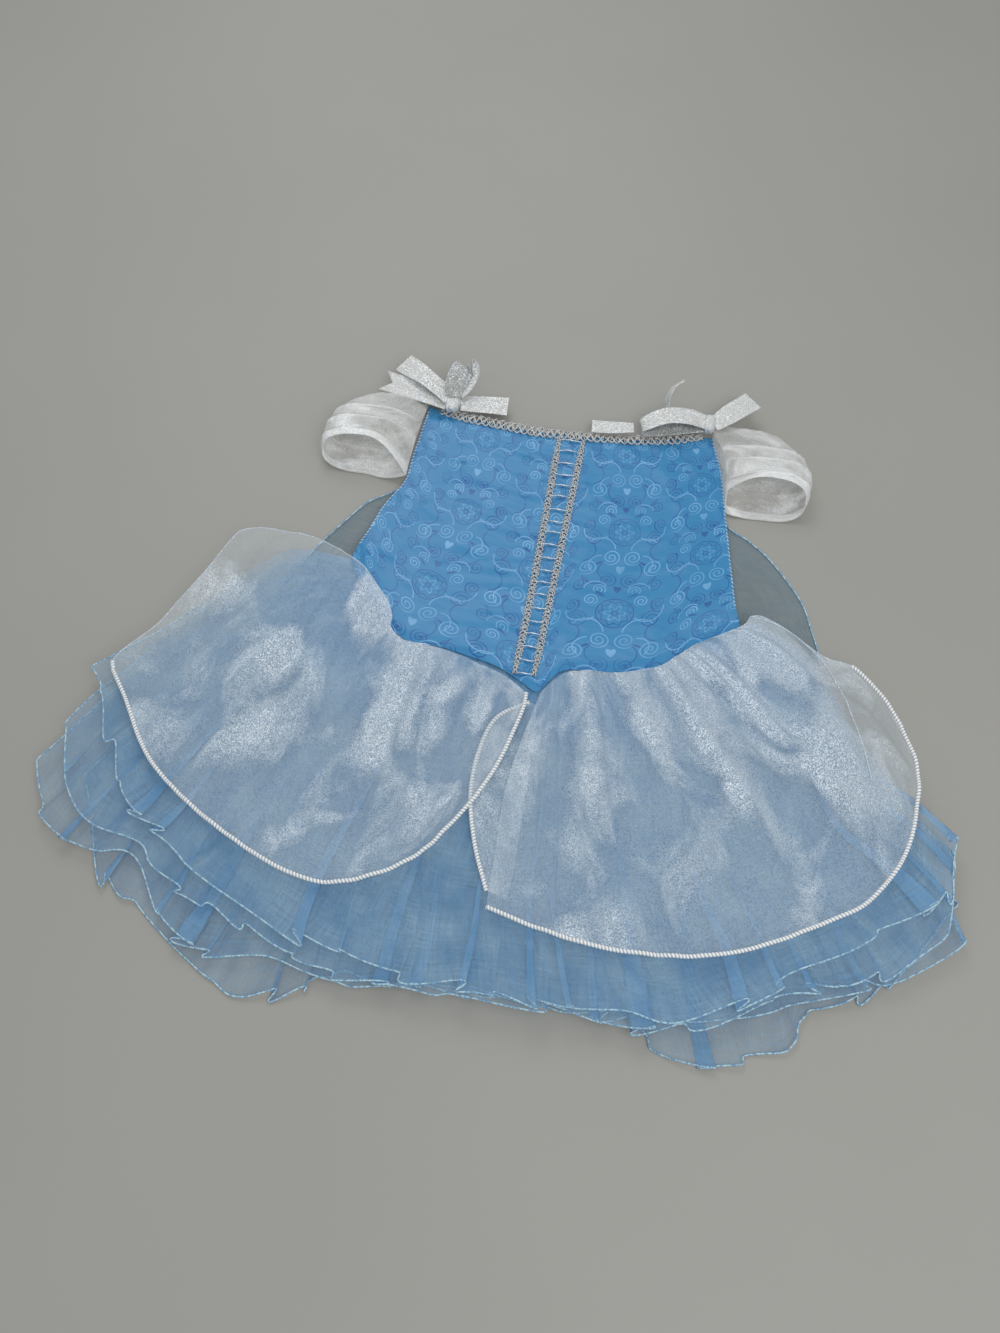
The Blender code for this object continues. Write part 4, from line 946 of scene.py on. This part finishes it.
# Front lacing
# Two chained silver rails sewn down the centre front, with glass-clear bars laid across
# between them like the rungs of a ladder.
LACING = [(234.0, -8.6, 11.6), (144.0, -9.2, 8.0), (67.0, -10.2, 4.8), (3.0, -12.2, 2.0)]
LACING_RUNGS = 20
RAIL_WIDTH, RUNG_WIDTH = 4.4, 2.2
rails = []
for k in (1, 2):
    line = [(row[k], row[0]) for row in LACING]
    rails += crossing_strands(line, RAIL_WIDTH / 2 + 0.4, 8.0, 2, 0.56, 0.3)
    rails += crossing_strands(line, 1.1, 5.5, 1, 0.62, 1.2)
piece("front_lacing_rails", rails, gimp_look, ["front_lacing"])

# Silver-lined glass: clear and shiny, the silver's reflections painted as bright and dark streaks.
bar_look, tree, shader = new_material("glass_silver_lined", "#b9c7d2", 0.12, 0.6)
reflection_streak = add(tree, "TexNoise", add(tree, "UVMap"), named={"Scale": 60.0, "Detail": 2.0})
tone = add(tree, "Mix", data_type="RGBA", named={0: reflection_streak, 6: linear("#5d7d98"), 7: linear("#f2f7fb")})
tree.links.new(tone.outputs[2], shader.inputs["Base Color"])
bump = add(tree, "Bump", named={"Strength": 0.3, "Distance": 0.0003, "Height": reflection_streak})
tree.links.new(bump.outputs[0], shader.inputs["Normal"])
shader.inputs["Coat Weight"].default_value = 0.8
rows = np.array(LACING)
bars = []
for py in np.linspace(rows[0, 0] - RUNG_WIDTH / 2, rows[-1, 0] + RUNG_WIDTH / 2, LACING_RUNGS):
    ends = [np.interp(-py, -rows[:, 0], rows[:, k]) for k in (1, 2)]
    across = np.linspace(ends[0] + 0.6, ends[1] - 0.6, 15)
    share = np.linspace(-1, 1, 15)
    sag = py - 1.1 * math.sin(py * 1.7) * (1 - share ** 2)
    up = satin_height(across, sag) + 1.35 + 0.35 * (1 - share ** 2)
    swell = 0.42 + 0.45 * np.exp(-(share / 0.26) ** 2)
    bars.append(tube(np.column_stack([across, sag, up]), swell[:, None], 10))
piece("front_lacing_glass_bars", bars, bar_look)

# Bows
# Silver glitter ribbon, 20 mm wide, tied at each end of the neckline. Each bow is cut into
# its knot, loop and tails, all from one length of ribbon.
RIBBONS = {  # x, y, z of the centre line, the ribbon's cross direction, its half width
    "bow_left_tail_side": [(-106, 256, 12.6, .25, -.97, 0, 8.5),
                           (-138, 265, 13.2, .36, -.93, -.08, 9.6),
                           (-166, 272, 13.4, .50, -.86, -.10, 10)],
    "bow_left_tail_upper": [(-104, 259, 15.2, .45, -.89, 0, 8.8),
                            (-131, 278, 17.4, .48, -.87, .05, 9.8),
                            (-152, 292, 16.0, .42, -.90, 0, 10)],
    "bow_left_loop": [(-103, 258, 17.5, .95, .20, 0, 5.5),
                      (-102, 265, 22.5, .95, .25, 0, 8.5),
                      (-99, 274, 28.0, .93, .30, 0, 9.8),
                      (-95, 281, 30.5, .92, .35, .05, 10),
                      (-93, 280, 27.5, .92, .35, .05, 10),
                      (-95, 271, 21.5, .95, .30, 0, 8.5),
                      (-99, 261, 17.0, .95, .20, 0, 5.0)],
    "bow_left_tail_inner": [(-96, 257.5, 11.4, .05, -.99, 0, 8.0),
                            (-76, 260, 10.6, .03, -.99, .05, 9.6),
                            (-56, 261, 10.2, .06, -.99, 0, 10)],
    "bow_right_tail_outer": [(117, 264, 13.0, .40, -.91, 0, 7.0),
                             (131, 277.5, 15.4, .70, -.71, 0, 9.4),
                             (149, 295, 15.0, .62, -.78, 0, 10)],
    "bow_right_loop": [(111, 266, 14.5, 0, -1, 0, 8.0),
                       (96, 266, 18.5, 0, -1, .12, 9.6),
                       (78, 263, 19.5, .05, -1, .15, 10),
                       (62, 255, 16.5, .15, -1, .1, 8.4),
                       (59, 252, 12.5, .15, -1, 0, 7),
                       (66, 255, 10.2, .10, -1, 0, 7.5),
                       (86, 261, 10.0, .05, -1, 0, 9),
                       (110, 265, 10.8, 0, -1, 0, 7)],
    "bow_right_tail_rising": [(77, 277.2, 13.4, .35, -.45, .82, 5),
                              (77, 282.8, 20.0, .35, -.45, .82, 5.5),
                              (81, 289, 27.0, .38, -.45, .80, 5.5),
                              (89, 293.5, 31.5, .45, -.45, .76, 5)],
    "bow_right_end_folded": [(17, 249.8, 10.8, .20, -.97, 0, 6.5),
                             (34, 250.7, 11.5, .05, -.97, .1, 7),
                             (52, 253.2, 11.0, .05, -.97, 0, 5)],
}
TAIL_NOTCH = {"bow_left_tail_side": 9.0}
RIBBON_BACK = dict.fromkeys(RIBBONS, 0) | {"bow_left_loop": 1, "bow_right_loop": 1}
RIBBON_THICK = 0.7
KNOTS = {"bow_left_knot": ((-102.5, 256.5, 12.3), (6.4, 9.4, 4.6)),
         "bow_right_knot": ((114.3, 265.5, 12.6), (4.8, 8.8, 4.6))}
# Silver glitter ribbon, with painted highlight patches of 9 mm in its foil.
ribbon_look = glitter_cloth("metallised_ribbon_woven_silver", "#cecbc2", "#fffaf0", 0.6, 0.5,
                            0.93, 1.0, (9.0, 9.0), (0.25, 0.6))

# The same ribbon's back: plain grey woven side, with less foil, and the same painted highlight patches.
ribbon_back = glitter_cloth("metallised_ribbon_woven_back", "#a5a59e", "#f2efe6", 0.55, 0.3,
                            0.93, 1.0, (9.0, 9.0), (0.25, 0.6))

for node, stations in RIBBONS.items():
    path = smooth_line(stations, 90)
    centre, cross, half = path[:, :3], path[:, 3:6], path[:, 6]
    along = np.gradient(centre, axis=0)
    along /= np.linalg.norm(along, axis=1)[:, None]
    cross = cross - along * np.sum(cross * along, axis=1)[:, None]
    cross /= np.linalg.norm(cross, axis=1)[:, None]
    normal = np.cross(along, cross)
    share, run = np.linspace(-1, 1, 25)[None], np.linspace(0, 1, 91)[:, None]
    size = half[:, None] / 10
    lift = 0.35 * np.sin(7 * share + 5 * run) * (1 - 0.6 * run) * size
    lift = lift + 0.6 * np.cos(9 * share) * np.exp(-run / 0.12) * size
    notch = -TAIL_NOTCH.get(node, 0) * (1 - np.abs(share)) * np.clip((run - 0.75) / 0.25, 0, 1)
    band = (centre[:, None] + cross[:, None] * (half[:, None] * share)[..., None]
            + normal[:, None] * lift[..., None] + along[:, None] * notch[..., None])
    length = np.linalg.norm(np.diff(centre, axis=0), axis=1).sum()
    ribbon = piece(node + "_ribbon", [grid_part(band, (20, length))], ribbon_look,
                   [node], {"fold_and_light_mark": np.full(band[..., 0].size, 0.5)})
    ribbon.data.materials.append(ribbon_back)
    wall = ribbon.modifiers.new("woven_thickness", "SOLIDIFY")
    wall.thickness, wall.offset, wall.material_offset = RIBBON_THICK * 0.001, 0.0, RIBBON_BACK[node]
    knot = "bow_left_knot" if node.startswith("bow_left") else "bow_right_knot"

for node, (centre, half) in KNOTS.items():
    tilt = np.linspace(-0.96, 0.96, 40)[:, None] * math.pi / 2
    turn = (np.arange(72) * 2 * math.pi / 72)[None, :]
    ring = np.abs(np.cos(tilt)) ** 0.6
    crease = 1 + 0.05 * np.cos(9 * turn + 3 * tilt) * ring + 0.03 * np.sin(17 * turn)
    knot = np.dstack([centre[0] + half[0] * crease * ring * squared_off(np.cos(turn), 0.7),
                      centre[1] + half[1] * crease * ring * squared_off(np.sin(turn), 0.7),
                      centre[2] + half[2] * squared_off(np.sin(tilt), 0.7) + 0 * turn])
    piece(node + "_ribbon", [grid_part(knot[::-1], (60, 30), wrap=True)], ribbon_look,
          [node], {"fold_and_light_mark": np.full(knot[..., 0].size, 0.5)})
